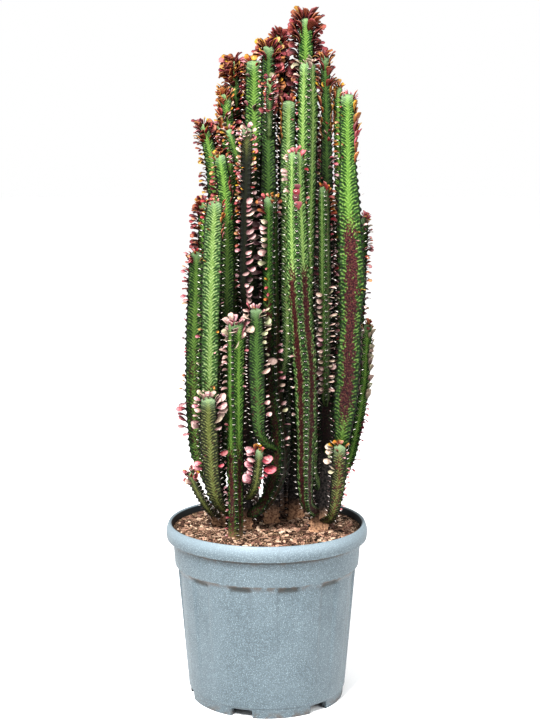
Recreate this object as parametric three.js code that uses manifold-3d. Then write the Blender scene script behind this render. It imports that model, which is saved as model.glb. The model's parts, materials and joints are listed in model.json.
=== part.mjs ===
// A potted euphorbia: a bush of upright three-ribbed stems with small leaves, rooted in bark soil in a
// plastic nursery pot. Millimetres, +Z up. The origin is on the floor under the middle of the pot, and -Y is
// the front.
import * as THREE from "three";
import { mergeVertices } from "three/addons/utils/BufferGeometryUtils.js";
import Module from "manifold-3d";

const wasm = await Module();
wasm.setup();

// Driving sizes of the pot
const FLUTES = 12;
const FIRST_FLUTE = 13.5; // degrees from the front, positive towards +X
const FLUTE_HALF = 8; // degrees from a flute's middle to its edge
const FLUTE_FLOOR_HALF = 5; // degrees from its middle to the edge of its flat floor
const FEET = 6;
const FIRST_NOTCH = 41.5; // degrees from the front
const NOTCH = { width: 36, depth: 26, height: 14 };
const DRAIN = { radius: 5.5, ring: 96 };
const FOOT_RADIUS = 129.5;
const FLOOR_UNDER = 15; // height of the floor's underside
const FLOOR_TOP = 18;

// Driving sizes of the soil
const SOIL_EDGE = 288; // height of the surface at the pot's wall
const SOIL_RISE = 5; // how much higher it is in the middle
const SOIL_RADIUS = 158; // of the surface
const SOIL_GAP = 0.6; // between the soil and the pot's wall
const CHIPS = 8;
const CHIP_TURN = 137.5; // degrees round the pot from each bark chip to the next
const CHIP = { length: [10, 22], width: [5, 10], thick: [3.5, 5.5], out: [46, 144], lean: 0.35, proud: 0.8 };

// Driving sizes of the plant
const BUSH_FORWARD = 15; // the stems' places are given from a point this far in front of the pot's axis
const VALLEY = 0.45; // radius of the middle of a face, as a part of the rib's radius
const CLEAR = 0.7; // added to a stem's radius where another piece is cut to it
const NEAREST = 18; // between the drawn sections of a stem
const NECK = { start: 0.8, gap: 0.1, radius: 0.6, valley: 0.8, full: 1.5 }; // parts of the radii there
const TIP = { full: 1.7, near: 0.5, radius: 0.76, valley: 0.5 }; // parts of the tip's radius
const SPINE = { length: 4.2, base: 0.8, sunk: 1.0, down: 1.6, aside: 0.5, turn: 62, step: 140, top: 16 };
const FIRST_SPINE = { main: 90, branch: 60 }; // along the stem
const LEAF = { thick: 1.5, root: 2, sunk: 3, width: 0.26, bow: 0.004, widest: 0.66, steepest: 84 };
const CROWN_LEAF = { first: 4, step: 15, spread: 4, tilt: 62, droop: 12, length: [19, 27] };
const ROW_LEAF = { first: 52, step: 27, spread: 8, tilt: [38, 62], length: [15, 21] };
const LEAF_TURNS = [[0, 0], [22, 0], [-22, 0], [0, 22], [44, 10], [-44, 10]]; // degrees aside and up

const COLOURS = {
  pot: { color: "#95a8b1", roughness: 0.55 },
  soil: { color: "#7c5a43", roughness: 0.95 },
  pale: { color: "#7fae5c", roughness: 0.6 },
  green: { color: "#4b7f37", roughness: 0.6 },
  dark: { color: "#35592c", roughness: 0.65 },
  olive: { color: "#646c30", roughness: 0.65 },
};

// Each stem: the stem that it springs from and the height there, the direction of one rib in degrees from +X,
// the twist from foot to tip, the leaves round its tip and in rows below, and the points of its middle line
// as [x, y, z, rib radius]. A main stem has its foot in the soil.
const STEMS = [
  // main stems
  { name: "main_tallest", tone: "green",
    turn: 88, twist: 6, crown: 8, rows: 6,
    path: [[48, 58, 205, 17], [52, 52, 400, 15], [58, 42, 650, 15], [61, 26, 900, 15],
      [62, 16, 1060, 15], [62, 15, 1128, 13]] },
  { name: "main_middle", tone: "dark",
    turn: 80, twist: 10, crown: 4, rows: 3,
    path: [[8, 25, 205, 16], [9, 22, 330, 15], [6, 15, 500, 14], [4, 8, 700, 14], [3, 5, 860, 15],
      [3, 5, 1084, 12]] },
  { name: "main_inner", tone: "green",
    turn: 92, twist: -4, crown: 3, rows: 3,
    path: [[-38, -14, 205, 17], [-37, -14, 400, 15], [-30, 0, 550, 15], [-26, 12, 690, 16],
      [-23, 21, 850, 16], [-20, 29, 950, 18], [-20, 30, 1062, 18]] },
  { name: "main_left", tone: "green",
    turn: 75, twist: 12, crown: 4, rows: 3,
    path: [[-78, 12, 205, 16], [-79, 16, 400, 14], [-79, 28, 600, 13], [-84, 32, 800, 13],
      [-90, 30, 905, 13], [-105, 30, 960, 11]] },
  { name: "main_right", tone: "dark",
    turn: 96, twist: 0, crown: 4, rows: 3,
    path: [[83, -25, 205, 19], [88, -8, 340, 18], [96, 9, 430, 17], [100, 22, 570, 15],
      [98, 22, 710, 14], [97, 10, 900, 11], [93, -2, 1068, 9]] },
  { name: "main_rear_left", tone: "green",
    turn: -80, twist: 8, crown: 4, rows: 2,
    path: [[-25, 80, 205, 16], [-28, 84, 500, 14], [-31, 88, 750, 14], [-30, 88, 985, 13]] },
  { name: "main_rear_right", tone: "green",
    turn: -95, twist: -8, crown: 4, rows: 3,
    path: [[35, 106, 205, 16], [33, 100, 500, 14], [30, 92, 800, 14], [29, 86, 1042, 13]] },
  { name: "main_front", tone: "green",
    turn: -72, twist: -35, crown: 5, rows: 4,
    path: [[-50, -62, 205, 14], [-50, -67, 330, 14], [-51, -71, 430, 15], [-51, -74, 520, 16],
      [-50, -74, 648, 16.5]] },
  // branches of the front
  { name: "branch_front_pale", tone: "pale", from: "main_right", at: 322,
    turn: -88, twist: -4, crown: 4, rows: 3,
    path: [[68, -50, 338, 12], [63, -60, 385, 15], [64, -60, 450, 17], [62, -60, 570, 23],
      [55, -60, 650, 22], [51, -60, 710, 22], [48, -60, 790, 19], [46, -58, 917, 15]] },
  { name: "branch_crown_pale", tone: "pale", from: "main_right", at: 350,
    turn: -90, twist: 4, crown: 6, rows: 4,
    path: [[76, -26, 392, 10], [73, -25, 440, 13], [67, -23, 550, 15], [63, -20, 700, 16],
      [64, -18, 840, 18], [66, -16, 980, 19], [66, -15, 1057, 17]] },
  { name: "branch_right_big", tone: "green", from: "main_right", at: 418,
    turn: 84, twist: 4, crown: 6, rows: 6,
    path: [[121, -22, 440, 14], [128, -25, 500, 22], [135, -25, 590, 24], [136, -25, 627, 20],
      [138, -25, 700, 25], [135, -25, 790, 23], [131, -25, 850, 21], [130, -25, 910, 15],
      [129, -25, 1007, 15.5]] },
  { name: "branch_front_olive", tone: "olive", from: "main_inner", at: 322,
    turn: 76, twist: 8, crown: 5, rows: 5,
    path: [[-67, -38, 332, 9], [-83, -58, 366, 15], [-91, -68, 450, 18], [-93, -68, 526, 17]] },
  { name: "branch_front_left", tone: "pale", from: "main_left", at: 345,
    turn: 84, twist: 6, crown: 5, rows: 4,
    path: [[-87, -16, 372, 11], [-90, -27, 430, 15], [-92, -38, 560, 18], [-89, -45, 680, 18],
      [-86, -46, 780, 18], [-82, -45, 839, 16]] },
  { name: "branch_far_left", tone: "green", from: "branch_front_left", at: 398,
    turn: 95, twist: 0, crown: 4, rows: 6,
    path: [[-112, -21, 412, 10], [-119, -20, 480, 15], [-120, -22, 560, 16], [-116, -22, 680, 16],
      [-114, -20, 756, 14]] },
  { name: "branch_middle_front", tone: "dark", from: "main_inner", at: 318,
    turn: -82, twist: 6, crown: 4, rows: 6,
    path: [[-10, -36, 331, 12], [20, -37, 392, 17], [22, -36, 450, 17], [13, -35, 530, 17],
      [9, -35, 660, 16], [8, -35, 770, 15], [8, -35, 846, 14]] },
  { name: "branch_mid_low", tone: "dark", from: "branch_middle_front", at: 430,
    turn: 88, twist: 4, crown: 5, rows: 6,
    path: [[-9, -56, 460, 10], [-14, -63, 510, 15], [-16, -63, 590, 15.5], [-17, -62, 669, 14]] },
  { name: "branch_low_olive", tone: "olive", from: "main_inner", at: 345,
    turn: 82, twist: 0, crown: 4, rows: 2,
    path: [[-26, -56, 362, 7], [-16, -72, 388, 9], [-11, -77, 442, 9]] },
  { name: "branch_low_left", tone: "olive", from: "main_left", at: 308,
    turn: 60, twist: 0, crown: 4, rows: 2,
    path: [[-90, -28, 324, 8], [-112, -42, 366, 10], [-125, -45, 398, 9]] },
  { name: "branch_low_right", tone: "olive", from: "main_right", at: 306,
    turn: 85, twist: 5, crown: 4, rows: 3,
    path: [[106, -44, 322, 9], [116, -50, 372, 14], [119, -50, 444, 13.5]] },
  { name: "branch_slender_right", tone: "green", from: "main_right", at: 338,
    turn: 70, twist: 10, crown: 4, rows: 4,
    path: [[116, 2, 360, 7], [140, 7, 408, 9], [151, 9, 455, 9.5], [162, 10, 525, 9.5],
      [167, 10, 634, 9]] },
  // branches of the middle
  { name: "branch_left_thin", tone: "green", from: "main_left", at: 362,
    turn: 100, twist: 0, crown: 5, rows: 4,
    path: [[-99, 8, 392, 8], [-100, 8, 500, 9.5], [-100, 7, 690, 9.5], [-104, -3, 765, 9.5],
      [-104, -5, 837, 9]] },
  { name: "branch_left_inner", tone: "green", from: "main_inner", at: 356,
    turn: 90, twist: 8, crown: 4, rows: 4,
    path: [[-60, -4, 392, 10], [-64, -4, 500, 13], [-65, -7, 658, 14], [-67, -10, 836, 14],
      [-77, -10, 912, 13]] },
  { name: "branch_gold", tone: "green", from: "main_left", at: 430,
    turn: 94, twist: 0, crown: 5, rows: 3,
    path: [[-54, 32, 466, 10], [-52, 30, 620, 12], [-57, 25, 800, 13], [-63, 20, 950, 13],
      [-67, 20, 1010, 12]] },
  { name: "branch_small_top", tone: "dark", from: "main_rear_left", at: 650,
    turn: 84, twist: 0, crown: 4, rows: 2,
    path: [[-43, 62, 696, 8], [-45, 56, 800, 9], [-48, 54, 950, 9], [-54, 50, 1062, 8.5]] },
  { name: "branch_small_left", tone: "green", from: "main_left", at: 520,
    turn: 80, twist: 0, crown: 3, rows: 2,
    path: [[-76, 58, 580, 8], [-76, 62, 700, 9], [-76, 60, 850, 10], [-79, 52, 960, 9]] },
  { name: "branch_diagonal", tone: "green", from: "main_inner", at: 856,
    turn: 90, twist: 0, crown: 3, rows: 1,
    path: [[-42, 3, 890, 8], [-54, 3, 926, 9], [-62, 2, 952, 8.5]] },
  { name: "branch_olive_top", tone: "olive", from: "main_inner", at: 640,
    turn: 86, twist: 0, crown: 3, rows: 2,
    path: [[-36, -20, 694, 8], [-34, -22, 800, 10], [-31, -20, 954, 10]] },
  { name: "branch_gold_column", tone: "pale", from: "main_middle", at: 522,
    turn: 90, twist: 0, crown: 4, rows: 4,
    path: [[29, -8, 570, 10], [33, -10, 700, 13], [34, -10, 854, 14.5], [35, -10, 997, 14]] },
  { name: "branch_small_inner", tone: "pale", from: "main_middle", at: 930,
    turn: 95, twist: 0, crown: 3, rows: 1,
    path: [[4, -17, 962, 6], [5, -24, 998, 7.5], [5, -25, 1032, 7]] },
  { name: "branch_dark_cluster", tone: "dark", from: "main_middle", at: 452,
    turn: 100, twist: 0, crown: 5, rows: 2,
    path: [[24, 42, 505, 8], [27, 42, 700, 9.5], [24, 38, 950, 9], [20, 35, 1105, 8.5]] },
  { name: "branch_right_thin", tone: "green", from: "main_right", at: 470,
    turn: 92, twist: 0, crown: 5, rows: 4,
    path: [[113, 37, 512, 8], [123, 38, 600, 9], [124, 36, 680, 9], [120, 20, 820, 9], [116, 10, 934, 9],
      [115, 8, 1021, 8.5]] },
  { name: "branch_pale_tip", tone: "pale", from: "main_right", at: 492,
    turn: -86, twist: 0, crown: 3, rows: 2,
    path: [[97, -14, 536, 9], [96, -17, 620, 11], [95, -17, 707, 11.5], [93, -17, 861, 11]] },
  { name: "branch_right_hidden", tone: "dark", from: "main_right", at: 368,
    turn: 75, twist: 0, crown: 4, rows: 4,
    path: [[122, 24, 396, 8], [138, 36, 450, 10], [150, 42, 545, 10], [157, 40, 670, 10],
      [161, 36, 808, 9]] },
  { name: "branch_left_hidden", tone: "dark", from: "main_left", at: 340,
    turn: 100, twist: 0, crown: 3, rows: 1,
    path: [[-104, 26, 372, 9], [-116, 34, 470, 11], [-120, 36, 600, 11], [-120, 34, 700, 10]] },
  // branches of the back
  { name: "branch_back_1", tone: "green", from: "main_tallest", at: 352,
    turn: 20, twist: 0, crown: 4, rows: 1,
    path: [[82, 66, 388, 9], [90, 66, 500, 11], [90, 62, 750, 12], [88, 54, 932, 11]] },
  { name: "branch_back_2", tone: "green", from: "main_rear_right", at: 344,
    turn: -70, twist: 0, crown: 4, rows: 1,
    path: [[66, 106, 380, 10], [76, 106, 500, 12], [78, 102, 740, 13], [76, 98, 902, 12]] },
  { name: "branch_back_3", tone: "dark", from: "main_tallest", at: 314,
    turn: 30, twist: 0, crown: 4, rows: 1,
    path: [[98, 82, 350, 10], [116, 82, 460, 12], [121, 78, 660, 13], [118, 74, 798, 12]] },
  { name: "branch_back_4", tone: "green", from: "main_middle", at: 372,
    turn: 60, twist: 0, crown: 4, rows: 2,
    path: [[-2, 52, 410, 9], [-4, 56, 560, 10], [-4, 52, 800, 11], [-2, 46, 948, 10]] },
  { name: "branch_back_5", tone: "green", from: "main_rear_left", at: 342,
    turn: -100, twist: 0, crown: 4, rows: 1,
    path: [[-62, 96, 378, 10], [-73, 100, 500, 12], [-74, 98, 700, 13], [-71, 94, 862, 12]] },
  { name: "branch_back_6", tone: "dark", from: "main_left", at: 318,
    turn: 150, twist: 0, crown: 4, rows: 1,
    path: [[-96, 50, 362, 9], [-108, 70, 450, 12], [-112, 74, 600, 13], [-108, 70, 758, 12]] },
  { name: "branch_back_7", tone: "green", from: "main_rear_right", at: 318,
    turn: 90, twist: 0, crown: 4, rows: 1,
    path: [[10, 126, 352, 10], [2, 134, 440, 12], [1, 134, 560, 13], [2, 130, 702, 12]] },
  { name: "branch_back_8", tone: "green", from: "main_rear_left", at: 314,
    turn: 95, twist: 0, crown: 4, rows: 2,
    path: [[-42, 116, 344, 9], [-50, 132, 420, 11], [-52, 134, 500, 12], [-50, 132, 572, 11]] },
  { name: "branch_back_9", tone: "dark", from: "main_rear_right", at: 332,
    turn: 85, twist: 0, crown: 4, rows: 2,
    path: [[50, 134, 368, 9], [52, 143, 450, 11], [52, 144, 540, 12], [51, 141, 624, 11]] },
  { name: "branch_back_10", tone: "olive", from: "main_rear_right", at: 300,
    turn: 40, twist: 0, crown: 4, rows: 2,
    path: [[82, 126, 334, 8], [101, 126, 390, 10], [103, 126, 460, 11], [101, 124, 522, 10]] },
  { name: "branch_back_11", tone: "olive", from: "main_rear_left", at: 300,
    turn: 140, twist: 0, crown: 4, rows: 2,
    path: [[-72, 104, 326, 8], [-98, 108, 370, 10], [-105, 108, 430, 10], [-102, 106, 484, 9.5]] },
  { name: "branch_back_12", tone: "green", from: "branch_back_3", at: 396,
    turn: 10, twist: 0, crown: 4, rows: 2,
    path: [[138, 74, 425, 8], [147, 71, 470, 10], [147, 70, 528, 9.5]] },
];

// A draw between 0 and 1 that is always the same for the same two numbers
function draw(first, second) {
  const wave = Math.sin(first * 127.1 + second * 311.7) * 43758.5453;
  return wave - Math.floor(wave);
}

function between([low, high], share) {
  return low + (high - low) * share;
}

const radians = THREE.MathUtils.degToRad;

function vector(x, y, z) {
  return new THREE.Vector3(x, y, z);
}

// A closed skin over rings of equally many points, ended by a single point before the first ring and after
// the last. The rings run anticlockwise as seen from the side that they advance to. Backwards splits its
// four-sided faces along their other diagonal, as on a skin that runs the other way.
function loft(rings, startPoint, endPoint, backwards = false) {
  const count = rings[0].length;
  const points = [startPoint, ...rings.flat(), endPoint];
  const last = points.length - 1;
  const at = (ring, i) => 1 + ring * count + (i % count);
  const faces = [];
  for (let i = 0; i < count; i++) {
    faces.push(0, at(0, i + 1), at(0, i));
    for (let ring = 0; ring < rings.length - 1; ring++) {
      const [a, b, c, d] = [at(ring, i), at(ring, i + 1), at(ring + 1, i + 1), at(ring + 1, i)];
      if (backwards) faces.push(a, b, d, b, c, d);
      else faces.push(a, b, c, a, c, d);
    }
    faces.push(last, at(rings.length - 1, i), at(rings.length - 1, i + 1));
  }
  const geometry = new THREE.BufferGeometry().setFromPoints(points);
  geometry.setIndex(faces);
  return geometry;
}

// The solid of a closed geometry
function solid(geometry) {
  geometry.deleteAttribute("normal");
  geometry.deleteAttribute("uv");
  const merged = mergeVertices(geometry, 1e-4);
  return new wasm.Manifold(new wasm.Mesh({
    numProp: 3,
    vertProperties: new Float32Array(merged.attributes.position.array),
    triVerts: new Uint32Array(merged.index.array),
  }));
}

// The biggest of the separate bodies in a solid
function biggest(body) {
  return body.decompose().reduce((most, piece) => (piece.volume() > most.volume() ? piece : most));
}

// The named mesh of a solid
function meshOf(name, body, look) {
  const found = body.getMesh();
  const geometry = new THREE.BufferGeometry();
  geometry.setAttribute("position", new THREE.BufferAttribute(found.vertProperties, 3));
  geometry.setIndex(new THREE.BufferAttribute(found.triVerts, 1));
  geometry.computeVertexNormals();
  const material = new THREE.MeshStandardMaterial({ ...COLOURS[look], metalness: 0 });
  const mesh = new THREE.Mesh(geometry, material);
  mesh.name = name;
  return mesh;
}

// The angles round the pot, in degrees from the front, with 1 where a flute is at its full depth
function potAngles() {
  const angles = [];
  for (let k = 0; k < FLUTES; k++) {
    const middle = FIRST_FLUTE + (k * 360) / FLUTES;
    angles.push([radians(middle - FLUTE_HALF), 0]);
    angles.push([radians(middle - FLUTE_FLOOR_HALF), 1]);
    angles.push([radians(middle + FLUTE_FLOOR_HALF), 1]);
    angles.push([radians(middle + FLUTE_HALF), 0]);
  }
  return angles;
}

// A ring round the pot's axis at a height, sunk by the flutes' depth there
function potRing(height, radius, depth = 0) {
  return potAngles().map(([angle, share]) => {
    const r = radius - depth * share;
    return vector(r * Math.sin(angle), -r * Math.cos(angle), height);
  });
}

function fromFront(degrees, radius, height) {
  return vector(radius * Math.sin(radians(degrees)), -radius * Math.cos(radians(degrees)), height);
}

// The pot: height, radius and flute depth from the floor's underside, round the foot, up the wall, over the
// hanging lip and down the inside to the floor's top
function potShell() {
  const profile = [
    [FLOOR_UNDER, 118], [0, 121], [0, FOOT_RADIUS],
    [17, 131], [18.2, 133], [222, 150.2, 4], [229, 155], [263, 157.6],
    [288, 161.6], [288, 166], [274, 166.6], [274, 168.4],
    [287, 170], [300.5, 165], [298.5, 160],
    [229, 152.2], [221, 147.4, 4], [FLOOR_TOP, 129.6],
  ];
  const rings = profile.map((row) => potRing(...row));
  return solid(loft(rings, vector(0, 0, FLOOR_UNDER), vector(0, 0, FLOOR_TOP)));
}

function notchedPot() {
  let pot = potShell();
  for (let k = 0; k < FEET; k++) {
    const turn = FIRST_NOTCH + (k * 360) / FEET;
    const notch = new THREE.BoxGeometry(NOTCH.width, NOTCH.depth, 2 * NOTCH.height);
    const hole = new THREE.CylinderGeometry(DRAIN.radius, DRAIN.radius, 10, 8).rotateX(Math.PI / 2);
    const notchPlace = fromFront(turn, FOOT_RADIUS, 0);
    const holePlace = fromFront(turn, DRAIN.ring, FLOOR_TOP - 1);
    notch.rotateZ(radians(turn)).translate(notchPlace.x, notchPlace.y, 0);
    hole.translate(holePlace.x, holePlace.y, holePlace.z);
    pot = pot.subtract(solid(notch)).subtract(solid(hole));
  }
  return pot;
}

// Height of the soil's surface, lumpy and a little higher in the middle
function soilHeight(x, y) {
  const far = Math.hypot(x, y) / SOIL_RADIUS;
  const across = 1.6 * Math.sin(x / 11 + 2 * Math.sin(y / 23));
  const along = 1.5 * Math.sin(y / 9 + 1.7 * Math.sin(x / 17));
  return SOIL_EDGE + SOIL_RISE * (1 - far * far) + (across + along) * Math.min(1, 4 * (1 - far));
}

// A bark chip: a small turned slab, half sunk in the surface
function chip(k) {
  const length = between(CHIP.length, draw(k, 1));
  const width = between(CHIP.width, draw(k, 2));
  const thick = between(CHIP.thick, draw(k, 3));
  const place = fromFront(k * CHIP_TURN, between(CHIP.out, Math.sqrt(draw(k, 4))), 0);
  return solid(new THREE.BoxGeometry(length, width, thick)
    .rotateX(between([CHIP.lean, -CHIP.lean], draw(k, 5)))
    .rotateZ(2 * Math.PI * draw(k, 6))
    .translate(place.x, place.y, soilHeight(place.x, place.y) + CHIP.proud));
}

// The soil fills the pot's inside up to its lumpy surface
function soilBody() {
  const bottom = FLOOR_TOP + SOIL_GAP;
  const rings = [
    potRing(bottom, 129.6 - SOIL_GAP),
    potRing(221, 147.4 - SOIL_GAP, 4),
    potRing(229, 152.2 - SOIL_GAP),
    potRing(SOIL_EDGE, SOIL_RADIUS),
    potRing(0, 104).map((p) => p.setZ(soilHeight(p.x, p.y))),
  ];
  let soil = solid(loft(rings, vector(0, 0, bottom), vector(0, 0, soilHeight(0, 0)), true));
  for (let k = 0; k < CHIPS; k++) {
    soil = soil.add(chip(k));
  }
  return biggest(soil);
}

// The middle line of a stem, from its foot in the soil or from the middle of the stem that it springs from,
// with the distances of its points along it
function middleLine(stem) {
  const path = [...stem.path];
  let parentRadius = 0;
  if (stem.from) {
    const parent = STEMS.find((other) => other.name === stem.from);
    const { place, radius } = placeAtHeight(parent, stem.at);
    path.unshift([place.x, place.y + BUSH_FORWARD, place.z, path[0][3]]);
    parentRadius = radius;
  }
  const curve = new THREE.CatmullRomCurve3(path.map(([x, y, z]) => vector(x, y - BUSH_FORWARD, z)));
  curve.arcLengthDivisions = 40 * (path.length - 1);
  const lengths = curve.getLengths();
  return {
    curve,
    radii: path.map((point) => point[3]),
    stops: path.map((point, k) => lengths[40 * k]),
    length: curve.getLength(),
    parentRadius,
  };
}

// The radius at a distance along a line, between those given at its points
function radiusAt({ radii, stops }, distance) {
  const k = Math.min(stops.findLastIndex((stop) => stop <= distance), stops.length - 2);
  return THREE.MathUtils.mapLinear(distance, stops[k], stops[k + 1], radii[k], radii[k + 1]);
}

// The middle of a stem's body at a height, and its radius there
function placeAtHeight(stem, height) {
  const line = middleLine(stem);
  const skin = stemRings(stem, line);
  const middleAt = (distance) => [0, 1, 2]
    .reduce((sum, rib) => sum.add(crestPoint(skin, rib, distance)), vector())
    .divideScalar(3);
  let low = 0;
  let high = line.length;
  for (let k = 0; k < 30; k++) {
    const middle = (low + high) / 2;
    if (middleAt(middle).z < height) low = middle;
    else high = middle;
  }
  return { place: middleAt(low), radius: radiusAt(line, low) };
}

// Where a stem is at a distance along it, with the directions of its axis and of its three ribs
function frameAt(stem, line, distance) {
  const share = THREE.MathUtils.clamp(distance / line.length, 0, 1);
  const axis = line.curve.getTangentAt(share);
  const lean = new THREE.Quaternion().setFromUnitVectors(vector(0, 0, 1), axis);
  const turn = stem.turn + stem.twist * share;
  const towards = (degrees) => {
    const angle = radians(turn + degrees);
    return vector(Math.cos(angle), Math.sin(angle), 0).applyQuaternion(lean);
  };
  return { place: line.curve.getPointAt(share), axis, towards };
}

// The distances along a stem where its section is drawn, with its radius there and how round it is. A branch
// starts as a narrow round neck, and every stem ends in a blunt cone.
function sections(stem, line) {
  const tipRadius = line.radii.at(-1);
  const rows = [];
  let begin = 0;
  if (stem.from) {
    const surface = NECK.start * line.parentRadius;
    const radius = line.radii[1];
    rows.push([surface + NECK.gap * radius, NECK.radius * radius, NECK.valley]);
    begin = surface + NECK.full * radius;
  }
  const end = line.length - TIP.full * tipRadius;
  const inner = line.stops.filter((stop) => stop > begin + NEAREST && stop < end - NEAREST);
  for (const distance of [begin, ...inner, end]) {
    rows.push([distance, radiusAt(line, distance), VALLEY]);
  }
  rows.push([line.length - TIP.near * tipRadius, TIP.radius * tipRadius, TIP.valley]);
  return rows;
}

// The corners of a stem's sections, ribs and valleys in turn, and the points at its two ends. Extra is added
// all round for a cut with clearance.
function stemRings(stem, line, extra = 0) {
  const rows = sections(stem, line);
  const rings = rows.map(([distance, radius, valley]) => {
    const { place, towards } = frameAt(stem, line, distance);
    return [0, 60, 120, 180, 240, 300].map((degrees) => {
      const reach = (degrees % 120 === 0 ? radius : valley * radius) + extra;
      return place.clone().addScaledVector(towards(degrees), reach);
    });
  });
  const foot = frameAt(stem, line, 0);
  const tip = frameAt(stem, line, line.length);
  return {
    distances: [...rows.map((row) => row[0]), line.length],
    rings,
    start: foot.place.addScaledVector(foot.axis, -extra - 0.5),
    end: tip.place.addScaledVector(tip.axis, extra),
  };
}

function stemBody(stem, line, extra = 0) {
  const { rings, start, end } = stemRings(stem, line, extra);
  return solid(loft(rings, start, end));
}

// The point on a rib's crest at a distance along the stem
function crestPoint({ distances, rings, end }, rib, distance) {
  const k = Math.min(distances.findLastIndex((d) => d <= distance), rings.length - 1);
  const share = (distance - distances[k]) / (distances[k + 1] - distances[k]);
  const next = k + 1 < rings.length ? rings[k + 1][2 * rib] : end;
  return rings[k][2 * rib].clone().lerp(next, share);
}

// A blade from root to tip, flat above and keeled below, widest at two thirds of its length
function blade(root, along, across, length, extra = 0) {
  const face = vector().crossVectors(along, across).normalize();
  const bow = (distance) => LEAF.bow * distance * distance;
  const section = (distance, half) => {
    const middle = root.clone().addScaledVector(along, distance).addScaledVector(face, bow(distance));
    return [
      middle.clone().addScaledVector(across, half + extra).addScaledVector(face, extra),
      middle.clone().addScaledVector(across, -half - extra).addScaledVector(face, extra),
      middle.clone().addScaledVector(face, -LEAF.thick - extra),
    ];
  };
  const rings = [section(0, LEAF.root / 2), section(LEAF.widest * length, LEAF.width * length)];
  const tip = root.clone().addScaledVector(along, length + extra).addScaledVector(face, bow(length));
  return solid(loft(rings, root.clone().addScaledVector(along, -0.3 - extra), tip));
}

// A spine: a slim three-sided point, its root sunk beside the crest of the rib
function spine(root, out, axis) {
  const side = vector().crossVectors(out, axis).normalize();
  const ring = [90, 210, 330].map((degrees) => {
    const angle = radians(degrees);
    return root.clone()
      .addScaledVector(side, SPINE.base * Math.cos(angle))
      .addScaledVector(axis, SPINE.base * Math.sin(angle));
  });
  const tip = root.clone().addScaledVector(out, SPINE.length + SPINE.sunk);
  return solid(loft([ring.reverse()], root.clone().addScaledVector(out, -0.2), tip));
}

// The leaves wanted on a stem, as distance from the tip, rib, tilt above level and length
function leafPlan(stem, index) {
  const plan = [];
  for (let k = 0; k < stem.crown; k++) {
    const ring = Math.floor(k / 3);
    const below = CROWN_LEAF.first + CROWN_LEAF.step * ring + CROWN_LEAF.spread * draw(index, k);
    const length = between(CROWN_LEAF.length, draw(index, k + 20));
    plan.push([below, k % 3, CROWN_LEAF.tilt - CROWN_LEAF.droop * ring, length]);
  }
  for (let k = 0; k < stem.rows; k++) {
    const below = ROW_LEAF.first + ROW_LEAF.step * k + ROW_LEAF.spread * draw(index, k + 40);
    const tilt = between(ROW_LEAF.tilt, draw(index, k + 60));
    plan.push([below, k % 3, tilt, between(ROW_LEAF.length, draw(index, k + 80))]);
  }
  return plan;
}

// Whether two boxes are apart
function apart(a, b) {
  return [0, 1, 2].some((i) => a.min[i] > b.max[i] || b.min[i] > a.max[i]);
}

function isClear(body, others) {
  const box = body.boundingBox();
  return others.every((other) => apart(box, other.box) || body.intersect(other.body).isEmpty());
}

// Adds the leaves of a stem. A leaf that would touch its neighbours is turned aside or raised, and left out
// where no such turn clears it.
function addLeaves(body, stem, line, index, others) {
  const skin = stemRings(stem, line);
  leafPlan(stem, index).forEach(([below, rib, tilt, length]) => {
    const distance = line.length - below;
    const crest = crestPoint(skin, rib, distance);
    const { axis, towards } = frameAt(stem, line, distance);
    for (const [aside, raise] of LEAF_TURNS) {
      const out = towards(120 * rib + aside);
      const angle = radians(Math.min(tilt + raise, LEAF.steepest));
      const along = out.clone().multiplyScalar(Math.cos(angle)).addScaledVector(axis, Math.sin(angle));
      const across = vector().crossVectors(axis, out).normalize();
      const root = crest.clone().addScaledVector(towards(120 * rib), -LEAF.sunk);
      if (!isClear(blade(root, along, across, length, 0.4), others)) continue;
      const leaf = blade(root, along, across, length);
      others.push({ body: leaf, box: leaf.boundingBox() });
      body = body.add(leaf);
      return;
    }
  });
  return body;
}

// Adds spines along the ribs of a stem, now left and now right of the crest, out to the tip
function addSpines(body, stem, line, index, others) {
  const skin = stemRings(stem, line);
  const start = stem.from ? FIRST_SPINE.branch : FIRST_SPINE.main;
  const reach = line.length - start - SPINE.top;
  const count = Math.max(3, Math.round(reach / SPINE.step));
  for (let k = 0; k < count; k++) {
    const rib = (k + index) % 3;
    const side = k % 2 ? 1 : -1;
    const distance = line.length - SPINE.top - (reach * (k + 0.5 * draw(index, k))) / count;
    const { axis, towards } = frameAt(stem, line, distance);
    const root = crestPoint(skin, rib, distance)
      .addScaledVector(towards(120 * rib), -SPINE.sunk - SPINE.down)
      .addScaledVector(towards(120 * rib + 90), side * SPINE.aside);
    const point = spine(root, towards(120 * rib + side * SPINE.turn), axis);
    if (isClear(point, others)) body = body.add(point);
  }
  return body;
}

// Every stem, cut clear of the one that it springs from, with its leaves and spines
function stemBodies() {
  const lines = STEMS.map((stem) => middleLine(stem));
  const bare = STEMS.map((stem, i) => {
    const body = stemBody(stem, lines[i]);
    if (!stem.from) return body;
    const parent = STEMS.findIndex((other) => other.name === stem.from);
    return biggest(body.subtract(stemBody(STEMS[parent], lines[parent], CLEAR)));
  });
  const leaves = [];
  return STEMS.map((stem, i) => {
    const others = bare.flatMap((body, k) => (k === i ? [] : [{ body, box: body.boundingBox() }]));
    others.push(...leaves);
    const count = others.length;
    const leafy = addLeaves(bare[i], stem, lines[i], i, others);
    leaves.push(...others.slice(count));
    return addSpines(leafy, stem, lines[i], i, others.slice(0, count));
  });
}

// The soil with a plain hole for each main stem
function plantedSoil() {
  let soil = soilBody();
  for (const stem of STEMS.filter((one) => !one.from)) {
    soil = soil.subtract(stemBody(stem, middleLine(stem), CLEAR));
  }
  return soil;
}

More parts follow.
